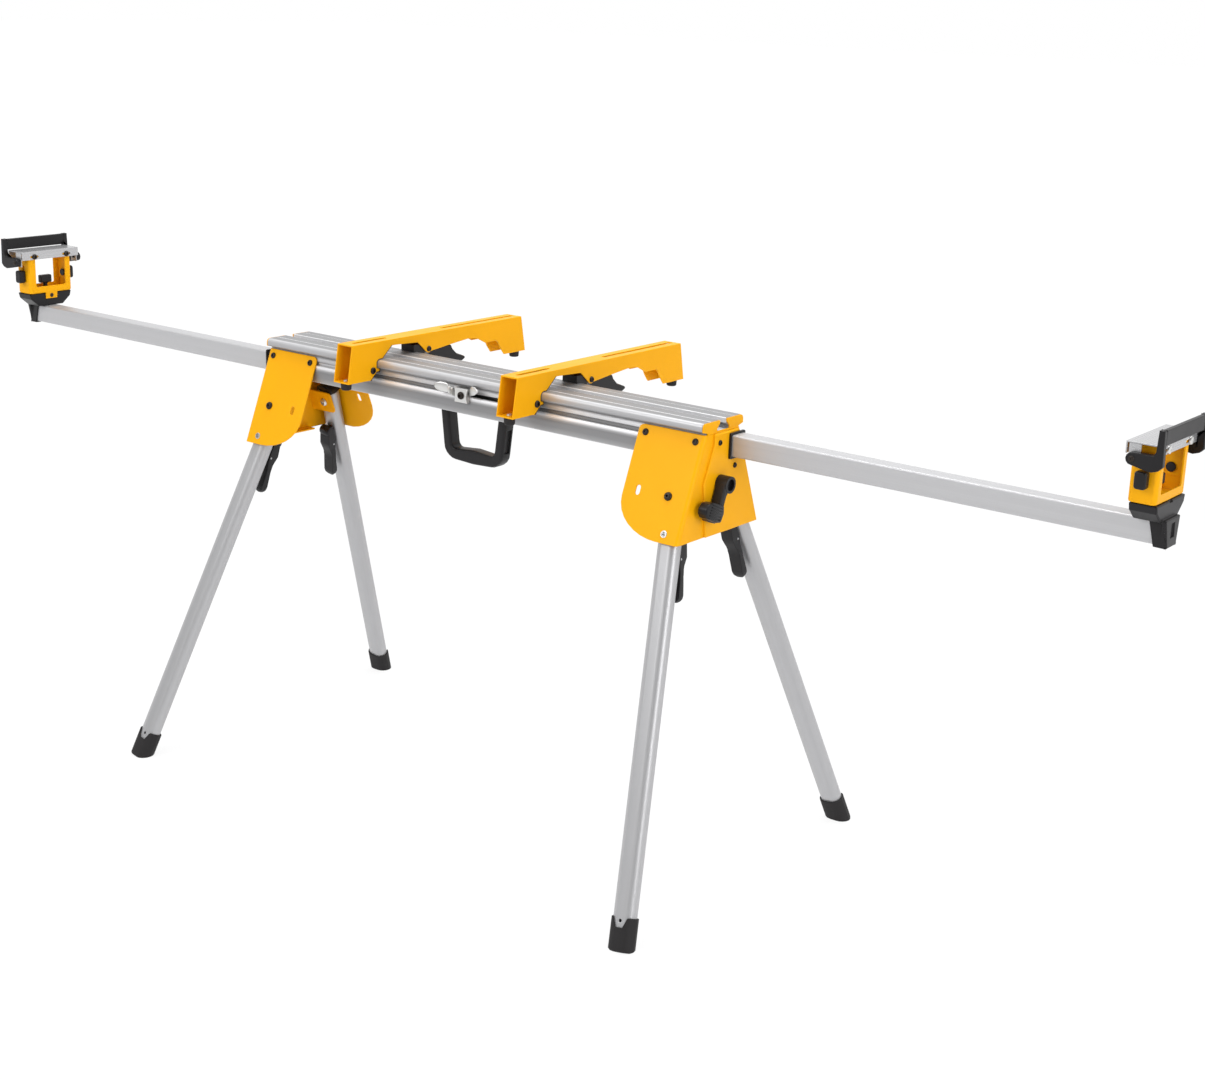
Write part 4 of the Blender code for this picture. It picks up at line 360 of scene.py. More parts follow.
def coated(name, colour, tones, rough, grain, bump, specular=0.5, metallic=0.0):
    """A painted, moulded or plated surface: a fine skin, with soft patches in its colour and gloss."""
    if name in bpy.data.materials:
        return bpy.data.materials[name]
    made, tree, shader, coordinates, height = start_material(name, *bump)
    patches = use_group(tree, smudges(), coordinates)["Mask"]
    patchy = blend_colours(tree, patches, shade(colour, tones[0]), shade(colour, tones[1]))
    feed_all(tree, shader, {"Base Color": patchy, "Roughness": ranged(tree, patches, *rough),
                            "Specular IOR Level": specular, "Metallic": metallic})
    skin = use_group(tree, fine_skin(), coordinates, {"Grain": (grain, grain, grain)})
    tree.links.new(skin["Height"], height)
    return made


def powder_coat():
    """Yellow powder coat with a slight orange peel."""
    return coated("yellow_powder_coat", colours().paint, (1.02, 0.96), (0.34, 0.44), 420.0, (0.16, 0.0004),
                  specular=0.12)


def plastic():
    """Black moulded plastic with a little dust."""
    return coated("black_plastic", colours().plastic, (1.0, 1.35), (0.30, 0.44), 1100.0, (0.18, 0.0003),
                  specular=0.28)


def rubber():
    """Dull black rubber."""
    return coated("black_rubber", colours().rubber, (1.0, 1.35), (0.60, 0.74), 700.0, (0.30, 0.0003),
                  specular=0.28)


def plated(name, colour, rough):
    """Turned steel with a thin plated or blackened skin."""
    return coated(name, colour, (1.05, 0.82), rough, 1500.0, (0.10, 0.0002), metallic=0.9)


def zinc():
    """Bright zinc plate."""
    return plated("zinc_plate", colours().zinc, (0.22, 0.36))


def blackened():
    """Blackened steel."""
    return plated("blackened_steel", colours().blackened, (0.34, 0.48))


# The finish of each of the record's material slots; bright aluminium is given piece by piece
FINISHES = {"yellow": powder_coat, "black": plastic, "rubber": rubber, "zinc": zinc, "dark": blackened}
# The edge that a slot's pieces have, where they aren't given the metal one
EDGES = {"yellow": "sheet_edge", "black": "plastic_edge", "rubber": "plastic_edge"}


# Shared places: angles of the legs and side plates, and the ends' faces, all at the right end

SPLAY = math.radians(21.3)
SPREAD = math.radians(9.3)
PLATE_TOP = (0.050, 0.020)
PAN_FACE = 0.513
PIVOT = (0.4675, 0.1201)
LOCK_RADIUS = 0.0615
# How much of its box a leg's axis spans along X and Y
LEG_SPAN = (0.72, 0.91)
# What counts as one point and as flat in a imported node, and how high its plain screw heads rise
WELD = 0.000002
FLAT = math.radians(0.5)
HEAD_RISE = (0.00015, 0.0060)
# A pivot bolt's shank: its radius with some room, half its length, and how much thinner it is shown
SHANK_ROOM, SHANK_HALF, SHANK_THINNER = 0.0054, 0.045, 0.0004


def at_end(side, vector):
    """A point or direction of the right end, turned half round for the left one."""
    x, y, z = vector
    return Vector((x, y, z)) if side == "right" else Vector((-x, -y, z))


def plate_point(front, x, drop):
    """A point on the right end's front or rear side plate, with its outward direction."""
    sign = -1 if front else 1
    outward = Vector((0.0, sign * math.cos(SPLAY), math.sin(SPLAY)))
    half, start = PLATE_TOP
    return Vector((x, sign * (half + (drop - start) * math.tan(SPLAY)), BEAM_TOP - drop)), outward


def leg_direction(side, end):
    """Where a leg points, from its tube's top to its foot."""
    x = 1 if side == "right" else -1
    y = -1 if end == "front" else 1
    low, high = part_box("leg_tube_%s_%s" % (side, end))
    span = high - low
    along, across = LEG_SPAN
    return Vector((x * span.x * along, y * span.y * across, -span.z)).normalized()


# Shaping and placing

def bevel(bm, edges, offset, steps):
    """Rounds some edges of a mesh."""
    bmesh.ops.bevel(bm, geom=edges, offset=offset, offset_type="OFFSET", segments=steps, profile=0.5,
                    affect="EDGES", material=-1, clamp_overlap=True)


def draw_out(bm, points, run):
    """Draws a closed outline out along a run, and gives back the corners of its far end."""
    face = bm.faces.new([bm.verts.new(point) for point in points])
    grown = bmesh.ops.extrude_face_region(bm, geom=[face])
    far = [item for item in grown["geom"] if isinstance(item, bmesh.types.BMVert)]
    bmesh.ops.translate(bm, vec=run, verts=far)
    return far


def stack_rings(bm, foot, direction, rings):
    """Closes a turned shape from rings of radius, rise and sides along a direction."""
    turn = Matrix.Translation(foot) @ Vector(direction).to_track_quat("Z", "Y").to_matrix().to_4x4()
    loops = []
    for radius, rise, sides in rings:
        made = bmesh.ops.create_circle(bm, cap_ends=False, radius=radius, segments=sides,
                                       matrix=turn @ Matrix.Translation((0.0, 0.0, rise)))
        loops.append(list({edge for vert in made["verts"] for edge in vert.link_edges}))
    for first, second in zip(loops, loops[1:]):
        bmesh.ops.bridge_loops(bm, edges=first + second)
    for loop in (loops[0], loops[-1]):
        bmesh.ops.contextual_create(bm, geom=loop)


def socket_head(radius, rise, socket):
    """The rings of a round screw head with a six sided socket."""
    return [(radius * 0.96, -0.0008, 28), (radius, 0.0, 28), (radius, rise * 0.22, 28),
            (radius * 0.95, rise * 0.50, 28), (radius * 0.82, rise * 0.78, 28),
            (radius * 0.62, rise * 0.95, 28), (socket * 1.22, rise, 28), (socket, rise - 0.0002, 6),
            (socket * 0.96, rise * 0.35, 6)]


def pan_head(radius, rise):
    """The rings of a round screw head with a small driver recess."""
    return [(radius, -0.0008, 28), (radius, rise * 0.35, 28), (radius * 0.90, rise * 0.72, 28),
            (radius * 0.62, rise * 0.96, 28), (radius * 0.34, rise, 28), (radius * 0.30, rise * 0.98, 4),
            (radius * 0.12, rise * 0.45, 4)]


def turned(name, body, places, rings, slot, material=None):
    """Turned pieces of one shape at several feet and directions, as one piece."""
    bm = bmesh.new()
    for foot, direction in places:
        stack_rings(bm, foot, direction, rings)
    return hard_piece(bm, name, body, slot, material)


def hard_piece(bm, name, body, slot, material=None, angle=38.0):
    """A small piece whose sharp edges stay crisp."""
    bmesh.ops.recalc_face_normals(bm, faces=bm.faces)
    piece = place(bm, name, body, slot, material)
    piece.data.set_sharp_from_angle(angle=math.radians(angle))
    return piece


def add_object(name, data):
    """An object in the scene."""
    made = bpy.data.objects.new(name, data)
    bpy.context.scene.collection.objects.link(made)
    return made


def place(bm, name, body, slot, material=None):
    """A finished mesh as a piece that rides on a body, in its slot's finish unless another is given."""
    mesh = bpy.data.meshes.new(name)
    bm.to_mesh(mesh)
    bm.free()
    for layer in ("custom_normal", "sharp_edge", "sharp_face"):
        if layer in mesh.attributes:
            mesh.attributes.remove(mesh.attributes[layer])
    mesh.materials.clear()
    mesh.materials.append(material or FINISHES[slot]())
    mesh.shade_smooth()
    piece = add_object(name, mesh)
    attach(piece, body)
    return piece


def round_edges(piece, width, angle=32.0, clamp=False):
    """Rounds a piece's sharp edges and keeps its flat faces flat."""
    edges = piece.modifiers.new("edges", "BEVEL")
    edges.width = width
    edges.segments = sizes().edge_steps
    edges.limit_method = "ANGLE"
    edges.angle_limit = math.radians(angle)
    edges.use_clamp_overlap = clamp
    even = piece.modifiers.new("even_shading", "WEIGHTED_NORMAL")
    even.mode = "FACE_AREA"
    even.weight = 80
    return piece


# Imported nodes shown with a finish

def welded(node, reach=WELD, split=False):
    """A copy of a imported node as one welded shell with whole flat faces, hollowed ends split if asked."""
    bm = bmesh.new()
    bm.from_mesh(frame["nodes"][node].data)
    for distance in (WELD, reach):
        bmesh.ops.remove_doubles(bm, verts=bm.verts, dist=distance)
        bmesh.ops.dissolve_limit(bm, angle_limit=FLAT, verts=bm.verts, edges=bm.edges)
    if split:
        hollowed = [face for face in bm.faces
                    if abs(face.normal.x) > 0.9 and not all(loop.is_convex for loop in face.loops)]
        bmesh.ops.triangulate(bm, faces=hollowed, quad_method="BEAUTY", ngon_method="BEAUTY")
    return bm


def without_heads(bm, heads):
    """Takes the plain heads off a welded node where finer ones are put."""
    doomed = set()
    for foot, direction, radius in heads:
        for face in bm.faces:
            offset = face.calc_center_median() - foot
            rise = offset.dot(direction)
            if HEAD_RISE[0] < rise < HEAD_RISE[1] and (offset - direction * rise).length < radius:
                doomed.add(face)
    bmesh.ops.delete(bm, geom=list(doomed), context="FACES")


def slim_shanks(bm, shanks):
    """Thins the bolts of a welded node by a hair, so that a tilted bore clears them."""
    for foot, direction in shanks:
        for vert in bm.verts:
            offset = vert.co - foot
            along = offset.dot(direction)
            across = offset - direction * along
            if across.length < SHANK_ROOM and abs(along) < SHANK_HALF:
                vert.co -= across.normalized() * SHANK_THINNER


def stand_in(bm, node, slot, edge=None, angle=32.0, material=None, clamp=False):
    """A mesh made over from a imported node, shown in that node's place with its slot's edge or another."""
    piece = place(bm, node + "_finished", BODY_OF[node], slot, material)
    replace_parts(piece, node)
    width = getattr(sizes(), edge or EDGES.get(slot, "metal_edge"))
    return round_edges(piece, width, angle, clamp)


def dress(node, slot, heads=(), shanks=(), reach=WELD, split=False, **looks):
    """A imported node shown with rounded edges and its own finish; steps under the reach are closed up."""
    bm = welded(node, reach, split)
    without_heads(bm, heads)
    slim_shanks(bm, shanks)
    return stand_in(bm, node, slot, **looks)


class StandOperator:
    """What the stand's operators share."""
    bl_options = {"REGISTER", "UNDO"}


# Corners of the beam's profile: distance from its middle, drop, and radius
BEAM_CORNERS = ((0.0570, 0.0145, 0.0030), (0.0445, 0.0175, 0.0016), (0.0467, 0.0205, 0.0030),
                (0.0496, 0.0280, 0.0010), (0.0521, 0.0345, 0.0022), (0.0557, 0.0437, 0.0070),
                (0.0557, 0.0665, 0.0018), (0.0100, 0.0000, 0.0007))
# The lip of the top slot, and how much thicker it is shown
SLOT_LIP = (0.0100, 0.0055)
LIP_THICKER = 0.0030
# The dark strip in the front slot, painted shade standing in for the slot's shaded inside: its profile as distance
# from the middle and drop, and its start under an arm
STRIP_PROFILE = ((0.0484, 0.0287), (0.0502, 0.0337), (0.0481, 0.0337), (0.0481, 0.0287))
STRIP_START = 0.012
CLIP_ROOM = 0.036


def near_corner(point, across, drop, reach):
    """Whether a point is at a corner of the beam's profile, on its front or its rear."""
    return abs(abs(point.y) - across) < reach and abs(BEAM_TOP - point.z - drop) < reach


def slot_cover(name, start, end):
    """A dark drawn strip that closes a stretch of the front slot, as painted shade for the slot's shaded inside."""
    bm = bmesh.new()
    draw_out(bm, [(start, -across, BEAM_TOP - drop) for across, drop in STRIP_PROFILE],
             (end - start, 0.0, 0.0))
    # Aluminium toned down to a third, as painted shade
    hard_piece(bm, name, BODY_OF["beam"], "bright", aluminium("strip_aluminium", tone=0.34, smooth=0.42))


def round_corner(bm, across, drop, radius):
    """Rounds the long edges of the profile at one corner, on the front and the rear."""
    picked = []
    for edge in bm.edges:
        first, second = (vert.co for vert in edge.verts)
        if abs((second - first).normalized().x) > 0.999 and near_corner(first, across, drop, 0.0007):
            picked.append(edge)
    if not picked:
        raise RuntimeError("no beam corner at %.4f %.4f" % (across, drop))
    bevel(bm, picked, radius, 4)


class STAND_OT_beam(StandOperator, bpy.types.Operator):
    """The extruded beam and the dark strips of painted shade in its front slot"""
    bl_idname = "stand.beam"
    bl_label = "Beam"

    def execute(self, context):
        bm = welded("beam")
        for vert in bm.verts:
            if near_corner(vert.co, *SLOT_LIP, 0.0004):
                vert.co.z -= LIP_THICKER
        for across, drop, radius in BEAM_CORNERS:
            round_corner(bm, across, drop, radius)
        stand_in(bm, "beam", "bright", angle=40.0,
                 material=aluminium("beam_aluminium", smooth=0.40, painted_light=beam_marks))
        for side, end in (("left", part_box("centre_clip_bolt")[0].x - CLIP_ROOM),
                          ("right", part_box("bracket_right")[0].x - 0.001)):
            slot_cover("slot_cover_" + side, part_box("saw_arm_" + side)[0].x + STRIP_START, end)
        return {"FINISHED"}


# Places on a bracket: x and drop on a side plate, y and drop on the end plate
PLATE_SCREWS = ((0.4919, 0.0317), (0.3923, 0.0317))
END_BOLTS = ((-0.0155, 0.036), (0.0300, 0.081))
TAB_INSIDE = 0.0395
# How far round each of them, and round a pivot bolt's inner end, a plain head is taken off
HEAD_ROOMS = (0.0062, 0.0075, 0.0050, 0.0095)
# A lock hole's bright bush and the round nose of the pin in it
BUSH_RINGS = ((0.0043, -0.0028, 24), (0.0043, 0.0001, 24), (0.0060, 0.0002, 24), (0.0060, 0.0007, 24),
              (0.0055, 0.0011, 24), (0.0044, 0.0011, 24), (0.0040, 0.0002, 24), (0.0038, -0.0012, 24))
NOSE_RINGS = ((0.0031, -0.0014, 24), (0.0031, 0.0004, 24), (0.0026, 0.0010, 24), (0.0014, 0.0014, 24))
# The cam lever's hinge and lean, and its thumb pad: distance down the lever and out to its front
CAM_HINGE = (PAN_FACE + 0.0003, -0.011, BEAM_TOP - 0.1035)
CAM_LEAN = math.radians(21.0)
PAD_OUTLINE = ((0.0350, 0.0020), (0.0355, 0.0330), (0.0395, 0.0440), (0.0490, 0.0490), (0.0580, 0.0475),
               (0.0640, 0.0400), (0.0655, 0.0120), (0.0630, 0.0000), (0.0480, -0.0030))
PAD_FOOT, PAD_THICK = 0.0030, 0.0185
# The pad's grip ribs: how many, the first one's place, their pitch down and across, and a rib's size
RIB_COUNT = 6
RIB_START = (0.0390, 0.0215)
RIB_PITCH = (0.0046, 0.0004)
RIB_SIZE = (0.0310, 0.0020, 0.0036)
RIB_RISE = 0.0213


def bolt_places(side):
    """Where the plate screws, pivot bolts, end bolts and lock holes of a bracket are."""
    def at_plate(front, x, drop):
        foot, outward = plate_point(front, x, drop)
        return at_end(side, foot), at_end(side, outward)

    screws, pivots, locks = [], [], []
    lock = (PIVOT[0] + LOCK_RADIUS * math.sin(SPREAD),
            PIVOT[1] + LOCK_RADIUS * math.cos(SPREAD) * math.cos(SPLAY))
    for front in (True, False):
        screws += [at_plate(front, *screw) for screw in PLATE_SCREWS]
        pivots.append(at_plate(front, *PIVOT))
        locks.append(at_plate(front, *lock))
    ends = [(at_end(side, (PAN_FACE, y, BEAM_TOP - drop)), at_end(side, (1, 0, 0)))
            for y, drop in END_BOLTS]
    return screws, pivots, ends, locks


def thumb_pad(side):
    """The cam lever's broad thumb pad, with grip ribs across its outer face."""
    hinge = Vector(CAM_HINGE)
    down = Vector((0.0, -math.sin(CAM_LEAN), -math.cos(CAM_LEAN)))
    front = Vector((0.0, -math.cos(CAM_LEAN), math.sin(CAM_LEAN)))
    bm = bmesh.new()
    draw_out(bm, [hinge + down * reach + front * across + Vector((PAD_FOOT, 0.0, 0.0))
                  for reach, across in PAD_OUTLINE], (PAD_THICK, 0.0, 0.0))
    bevel(bm, bm.edges[:], 0.0024, 4)
    turn = Matrix((front, down, front.cross(down))).transposed().to_4x4()
    turn = turn @ Matrix.Diagonal((*RIB_SIZE, 1.0))
    for index in range(RIB_COUNT):
        reach, across = (start + index * pitch for start, pitch in zip(RIB_START, RIB_PITCH))
        middle = hinge + down * reach + front * across + Vector((RIB_RISE, 0.0, 0.0))
        rib = bmesh.ops.create_cube(bm, size=1.0, matrix=Matrix.Translation(middle) @ turn)
        bevel(bm, list({edge for vert in rib["verts"] for edge in vert.link_edges}), 0.0006, 2)
    if side == "left":
        bm.transform(Matrix.Rotation(math.pi, 4, "Z"))
    hard_piece(bm, "thumb_pad_" + side, "cam_lever_" + side, "black", angle=50.0)


class STAND_OT_brackets(StandOperator, bpy.types.Operator):
    """The folded end brackets, their tube collars and cam levers"""
    bl_idname = "stand.brackets"
    bl_label = "End Brackets"

    def execute(self, context):
        for side in SIDES:
            screws, pivots, ends, locks = bolt_places(side)
            inside = [(foot - way * TAB_INSIDE, -way) for foot, way in pivots]
            rooms = zip((screws, pivots, ends, inside), HEAD_ROOMS)
            heads = [(foot, way, room) for places, room in rooms for foot, way in places]
            dress("bracket_" + side, "yellow", heads=heads, shanks=pivots, reach=0.0004, split=True)
            pin_steel = plated("pin_steel", shade(colours().zinc, 0.32), (0.26, 0.38))
            for name, places, rings, *finish in (
                    ("plate_screws_", screws, socket_head(sizes().plate_screw, 0.0032, 0.0026), "dark"),
                    ("pivot_heads_", pivots, socket_head(sizes().pivot_head, 0.0046, 0.0024), "dark"),
                    ("end_plate_bolts_", ends, socket_head(0.0046, 0.0028, 0.0022), "dark"),
                    ("pivot_ends_", inside, socket_head(0.0080, 0.0048, 0.0036), "zinc"),
                    ("lock_bushes_", locks, BUSH_RINGS, "zinc"),
                    ("lock_noses_", locks, NOSE_RINGS, "zinc", pin_steel)):
                turned(name + side, ROOT, places, rings, *finish)
            dress("tube_collar_" + side, "black", edge="metal_edge")
            dress("cam_lever_" + side, "black", clamp=True)
            thumb_pad(side)
        return {"FINISHED"}


class STAND_OT_extensions(StandOperator, bpy.types.Operator):
    """The pull-out tubes and the brackets on their ends"""
    bl_idname = "stand.extensions"
    bl_label = "Extensions"

    def execute(self, context):
        for side in SIDES:
            dress("extension_tube_" + side, "bright", material=aluminium("tube_aluminium", tone=1.12, smooth=0.44))
            dress("end_bracket_" + side, "black")
        return {"FINISHED"}


# The crown of a leg's lever: the leg's depth at the lock pin, its place from there, and its barrel
LEG_DEPTH = 0.035
CROWN_IN, CROWN_DOWN = 0.0112, 0.0022
CROWN_HALF = 0.0118
CROWN_RINGS = ((0.0072, 0.0000, 32), (0.0092, 0.0008, 32), (0.0103, 0.0030, 32), (0.0106, 0.0118, 32),
               (0.0103, 0.0206, 32), (0.0092, 0.0228, 32), (0.0072, 0.0236, 32))


def lever_crown(side, end):
    """The rounded crown over the lock pin's head, at the top of a leg's lever."""
    sign = (-1 if end == "front" else 1) * (1 if side == "right" else -1)
    foot, outward = plate_point(sign < 0, *PIVOT)
    down = Vector((0.0, sign * math.sin(SPLAY), -math.cos(SPLAY)))
    run = down * math.cos(SPREAD) + Vector((math.sin(SPREAD), 0.0, 0.0))
    over = outward.cross(run).normalized()
    start = foot - outward * (LEG_DEPTH + CROWN_IN) + run * (LOCK_RADIUS + CROWN_DOWN) - over * CROWN_HALF
    lever = "leg_lever_%s_%s" % (side, end)
    turned("lever_crown_%s_%s" % (side, end), BODY_OF[lever], [(at_end(side, start), at_end(side, over))],
           CROWN_RINGS, "black")


class STAND_OT_legs(StandOperator, bpy.types.Operator):
    """The legs with their plugs, feet, levers and lock pins"""
    bl_idname = "stand.legs"
    bl_label = "Legs"

    def execute(self, context):
        for side in SIDES:
            for end in ENDS:
                key = side + "_" + end
                dress("leg_tube_" + key, "bright", angle=40.0,
                      material=aluminium("leg_aluminium_" + key, leg_direction(side, end), 0.98, 0.36))
                dress("leg_plug_" + key, "black", edge="metal_edge")
                dress("leg_foot_" + key, "rubber", angle=40.0)
                dress("leg_lever_" + key, "black", reach=0.0006, edge="metal_edge", angle=50.0, clamp=True)
                lever_crown(side, end)
                dress("lock_pin_" + key, "dark")
        return {"FINISHED"}


# The swivel knob over its stem's foot: how far it is lowered and how wide it is shown
KNOB_FOOT = 0.020
KNOB_LOWER = 0.0075
KNOB_WIDTH = 0.90
PLUG_DROP = 0.0060
PLUG_RINGS = ((0.0043, -0.0004, 24), (0.0043, 0.0006, 24), (0.0036, 0.0011, 24), (0.0012, 0.0012, 24))
# The support top's flange screws: half their pitch, the outer ones' shift, and their height over the beam
FLANGE_HALF, FLANGE_SHIFT, FLANGE_RISE = 0.040, 0.007, 0.0785
# The flip stop's pivot, from the middle of the frame outwards and over the beam
STOP_BACK, STOP_RISE = 0.010, 0.068


def swivel_knob(side):
    """The wing knob on its short stem, and the dark plug in the frame's clip."""
    knob = "swivel_knob_" + side
    bm = welded(knob)
    low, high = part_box(knob)
    middle = (low + high) / 2
    for vert in bm.verts:
        if vert.co.z > BEAM_TOP + KNOB_FOOT:
            vert.co.z -= KNOB_LOWER
            vert.co.y = middle.y + KNOB_WIDTH * (vert.co.y - middle.y)
    stand_in(bm, knob, "black")
    frame_low, frame_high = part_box("support_frame_" + side)
    inner, way = (frame_low.x, -1) if side == "right" else (frame_high.x, 1)
    foot = Vector((inner - way * 0.0003, middle.y, BEAM_TOP - PLUG_DROP))
    turned("clip_plug_" + side, BODY_OF["support_frame_" + side], [(foot, (way, 0, 0))], PLUG_RINGS, "dark")


def flange_screws(side):
    """Bright screws in the support top's outer flange and dark ones in its slotted inner flange."""
    low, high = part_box("support_top_" + side)
    outer, inner, way = (high.x, low.x, 1) if side == "right" else (low.x, high.x, -1)
    middle = (low.y + high.y) / 2
    for name, x, outward, shift, rings, slot in (
            ("outer", outer, way, FLANGE_SHIFT * way, pan_head(sizes().flange_screw, 0.0034), "zinc"),
            ("inner", inner, -way, 0.0, socket_head(0.0058, 0.0036, 0.0024), "dark")):
        places = [(Vector((x, middle + y + shift, BEAM_TOP + FLANGE_RISE)), Vector((outward, 0, 0)))
                  for y in (-FLANGE_HALF, FLANGE_HALF)]
        turned("%s_flange_screws_%s" % (name, side), "support_lift_" + side, places, rings, slot)


def stop_pivots(side):
    """Grey pivot heads on the outer sides of the flip stop's arms."""
    low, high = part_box("flip_stop_" + side)
    frame_low, frame_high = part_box("support_frame_" + side)
    x = (frame_low.x + frame_high.x) / 2 + (-STOP_BACK if side == "right" else STOP_BACK)
    places = [(Vector((x, y, BEAM_TOP + STOP_RISE)), Vector((0, way, 0)))
              for y, way in ((low.y, -1), (high.y, 1))]
    turned("stop_pivot_heads_" + side, "flip_stop_" + side, places, pan_head(0.0046, 0.0016), "dark")


class STAND_OT_supports(StandOperator, bpy.types.Operator):
    """The material supports with their stops and knobs"""
    bl_idname = "stand.supports"
    bl_label = "Material Supports"

    def execute(self, context):
        for side in SIDES:
            dress("support_frame_" + side, "yellow")
            dress("support_carrier_" + side, "yellow", edge="metal_edge")
            dress("support_top_" + side, "bright", material=aluminium("plate_aluminium", (0, 1, 0), 1.05, 0.24))
            flange_screws(side)
            stop_pivots(side)
            dress("flip_stop_" + side, "black")
            swivel_knob(side)
            for end in ENDS:
                dress("height_knob_" + side + "_" + end, "black")
        return {"FINISHED"}


# The hook bolt on an arm's sides, and the bumper's screw in its floor: y and height
ARM_HALF = 0.01875
HOOK_BOLT = (-0.0675, BEAM_TOP - 0.0185)
BUMPER_SCREW = (-0.1165, BEAM_TOP - 0.0335)
NUT_RINGS = ((0.0066, -0.0006, 6), (0.0066, 0.0028, 6), (0.0056, 0.0034, 24), (0.0044, 0.0046, 24),
             (0.0032, 0.0047, 24), (0.0030, 0.0038, 24))
# The liner along the hook's edge, as y and rise: up to its round corner, and on from there
LINER_START = ((-0.0725, -0.0365), (-0.0575, -0.0221), (-0.0506, -0.0221), (-0.0506, -0.0168),
               (-0.0579, -0.0150))
LINER_CORNER, LINER_RADIUS = Vector((-0.0495, -0.0075)), 0.0084
LINER_END = ((-0.0432, 0.0008), (-0.0183, 0.0221))
LINER_HALF = 0.0192


def hook_liner(side, x):
    """The thin dark liner along the edge that hooks over the beam."""
    angles = [math.radians(180 - 18 * step) for step in range(6)]
    corner = [LINER_CORNER + LINER_RADIUS * Vector((math.cos(angle), math.sin(angle))) for angle in angles]
    bm = bmesh.new()
    verts = [bm.verts.new((x - LINER_HALF, y, BEAM_TOP + rise))
             for y, rise in (*LINER_START, *corner, *LINER_END)]
    edges = [bm.edges.new(pair) for pair in zip(verts, verts[1:])]
    grown = bmesh.ops.extrude_edge_only(bm, edges=edges)
    moved = [item for item in grown["geom"] if isinstance(item, bmesh.types.BMVert)]
    bmesh.ops.translate(bm, vec=(2 * LINER_HALF, 0.0, 0.0), verts=moved)
    piece = hard_piece(bm, "hook_liner_" + side, "saw_arm_" + side, "black", angle=60.0)
    thicken(piece, 0.0010)


class STAND_OT_saw_arms(StandOperator, bpy.types.Operator):
    """The saw arms with their jaws, clamp levers, bolts and bumpers"""
    bl_idname = "stand.saw_arms"
    bl_label = "Saw Arms"

    def execute(self, context):
        for side in SIDES:
            low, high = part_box("arm_jaw_" + side)
            x = (low.x + high.x) / 2
            arm = "saw_arm_" + side
            right, left = ((Vector((x + way * ARM_HALF, *HOOK_BOLT)), Vector((way, 0, 0))) for way in (1, -1))
            dress(arm, "yellow", heads=[(*right, 0.0066), (*left, 0.0066)])
            turned("hook_bolt_" + side, arm, [right], socket_head(sizes().hook_bolt, 0.0036, 0.0026), "dark")
            turned("hook_nut_" + side, arm, [left], NUT_RINGS, "dark")
            turned("bumper_screw_" + side, arm, [((x, *BUMPER_SCREW), (0, 0, 1))], pan_head(0.0052, 0.0032), "zinc")
            hook_liner(side, x)
            dress("arm_jaw_" + side, "black", edge="metal_edge")
            dress("arm_clamp_lever_" + side, "black")
            dress("ear_bolt_" + side, "dark")
            for end in ENDS:
                dress("arm_bumper_" + side + "_" + end, "rubber", edge="metal_edge")
        return {"FINISHED"}


def thicken(piece, thickness):
    """Gives a sheet its thickness, half to each side."""
    sheet = piece.modifiers.new("sheet", "SOLIDIFY")
    sheet.thickness = thickness
    sheet.offset = 0.0


# The clip's wings, from its middle outwards: reach along X, rise, half width and distance out
LEFT_WING = ((-0.0150, 0.0000, 0.0075, 0.0560), (-0.0190, 0.0020, 0.0075, 0.0545),
             (-0.0225, 0.0040, 0.0072, 0.0640), (-0.0258, 0.0052, 0.0068, 0.0595),
             (-0.0290, 0.0064, 0.0062, 0.0650), (-0.0325, 0.0076, 0.0060, 0.0605),
             (-0.0375, 0.0086, 0.0086, 0.0615), (-0.0480, 0.0095, 0.0088, 0.0640),
             (-0.0555, 0.0100, 0.0062, 0.0660), (-0.0590, 0.0102, 0.0034, 0.0665))
RIGHT_WING = ((0.0150, 0.0040, 0.0055, 0.0560), (0.0185, 0.0090, 0.0076, 0.0595),
              (0.0250, 0.0115, 0.0084, 0.0625), (0.0320, 0.0127, 0.0074, 0.0645),
              (0.0390, 0.0135, 0.0038, 0.0665), (0.0430, 0.0140, 0.0008, 0.0675))
WING_BOW = 0.0012
# The clip's face: half its sides, its right side's hollow, its distance out, and the beam's wall behind it
CLIP_HALF = (0.0155, 0.0128)
CLIP_BITE = 0.0035
CLIP_FACE = 0.0625
CLIP_EDGE = 0.0009
BEAM_WALL = (0.0465, 0.0205)
# The handle: where its limbs begin, how much they swell, their faces' least area, its fixing and its recess
LIMB_START, LIMB_SWELL, LIMB_AREA = 0.055, 1.22, 0.0003
FIXING_HEIGHT = 0.027
RECESS_RIM, RECESS_WALL, RECESS_DEPTH = 0.0032, 0.0004, 0.0040


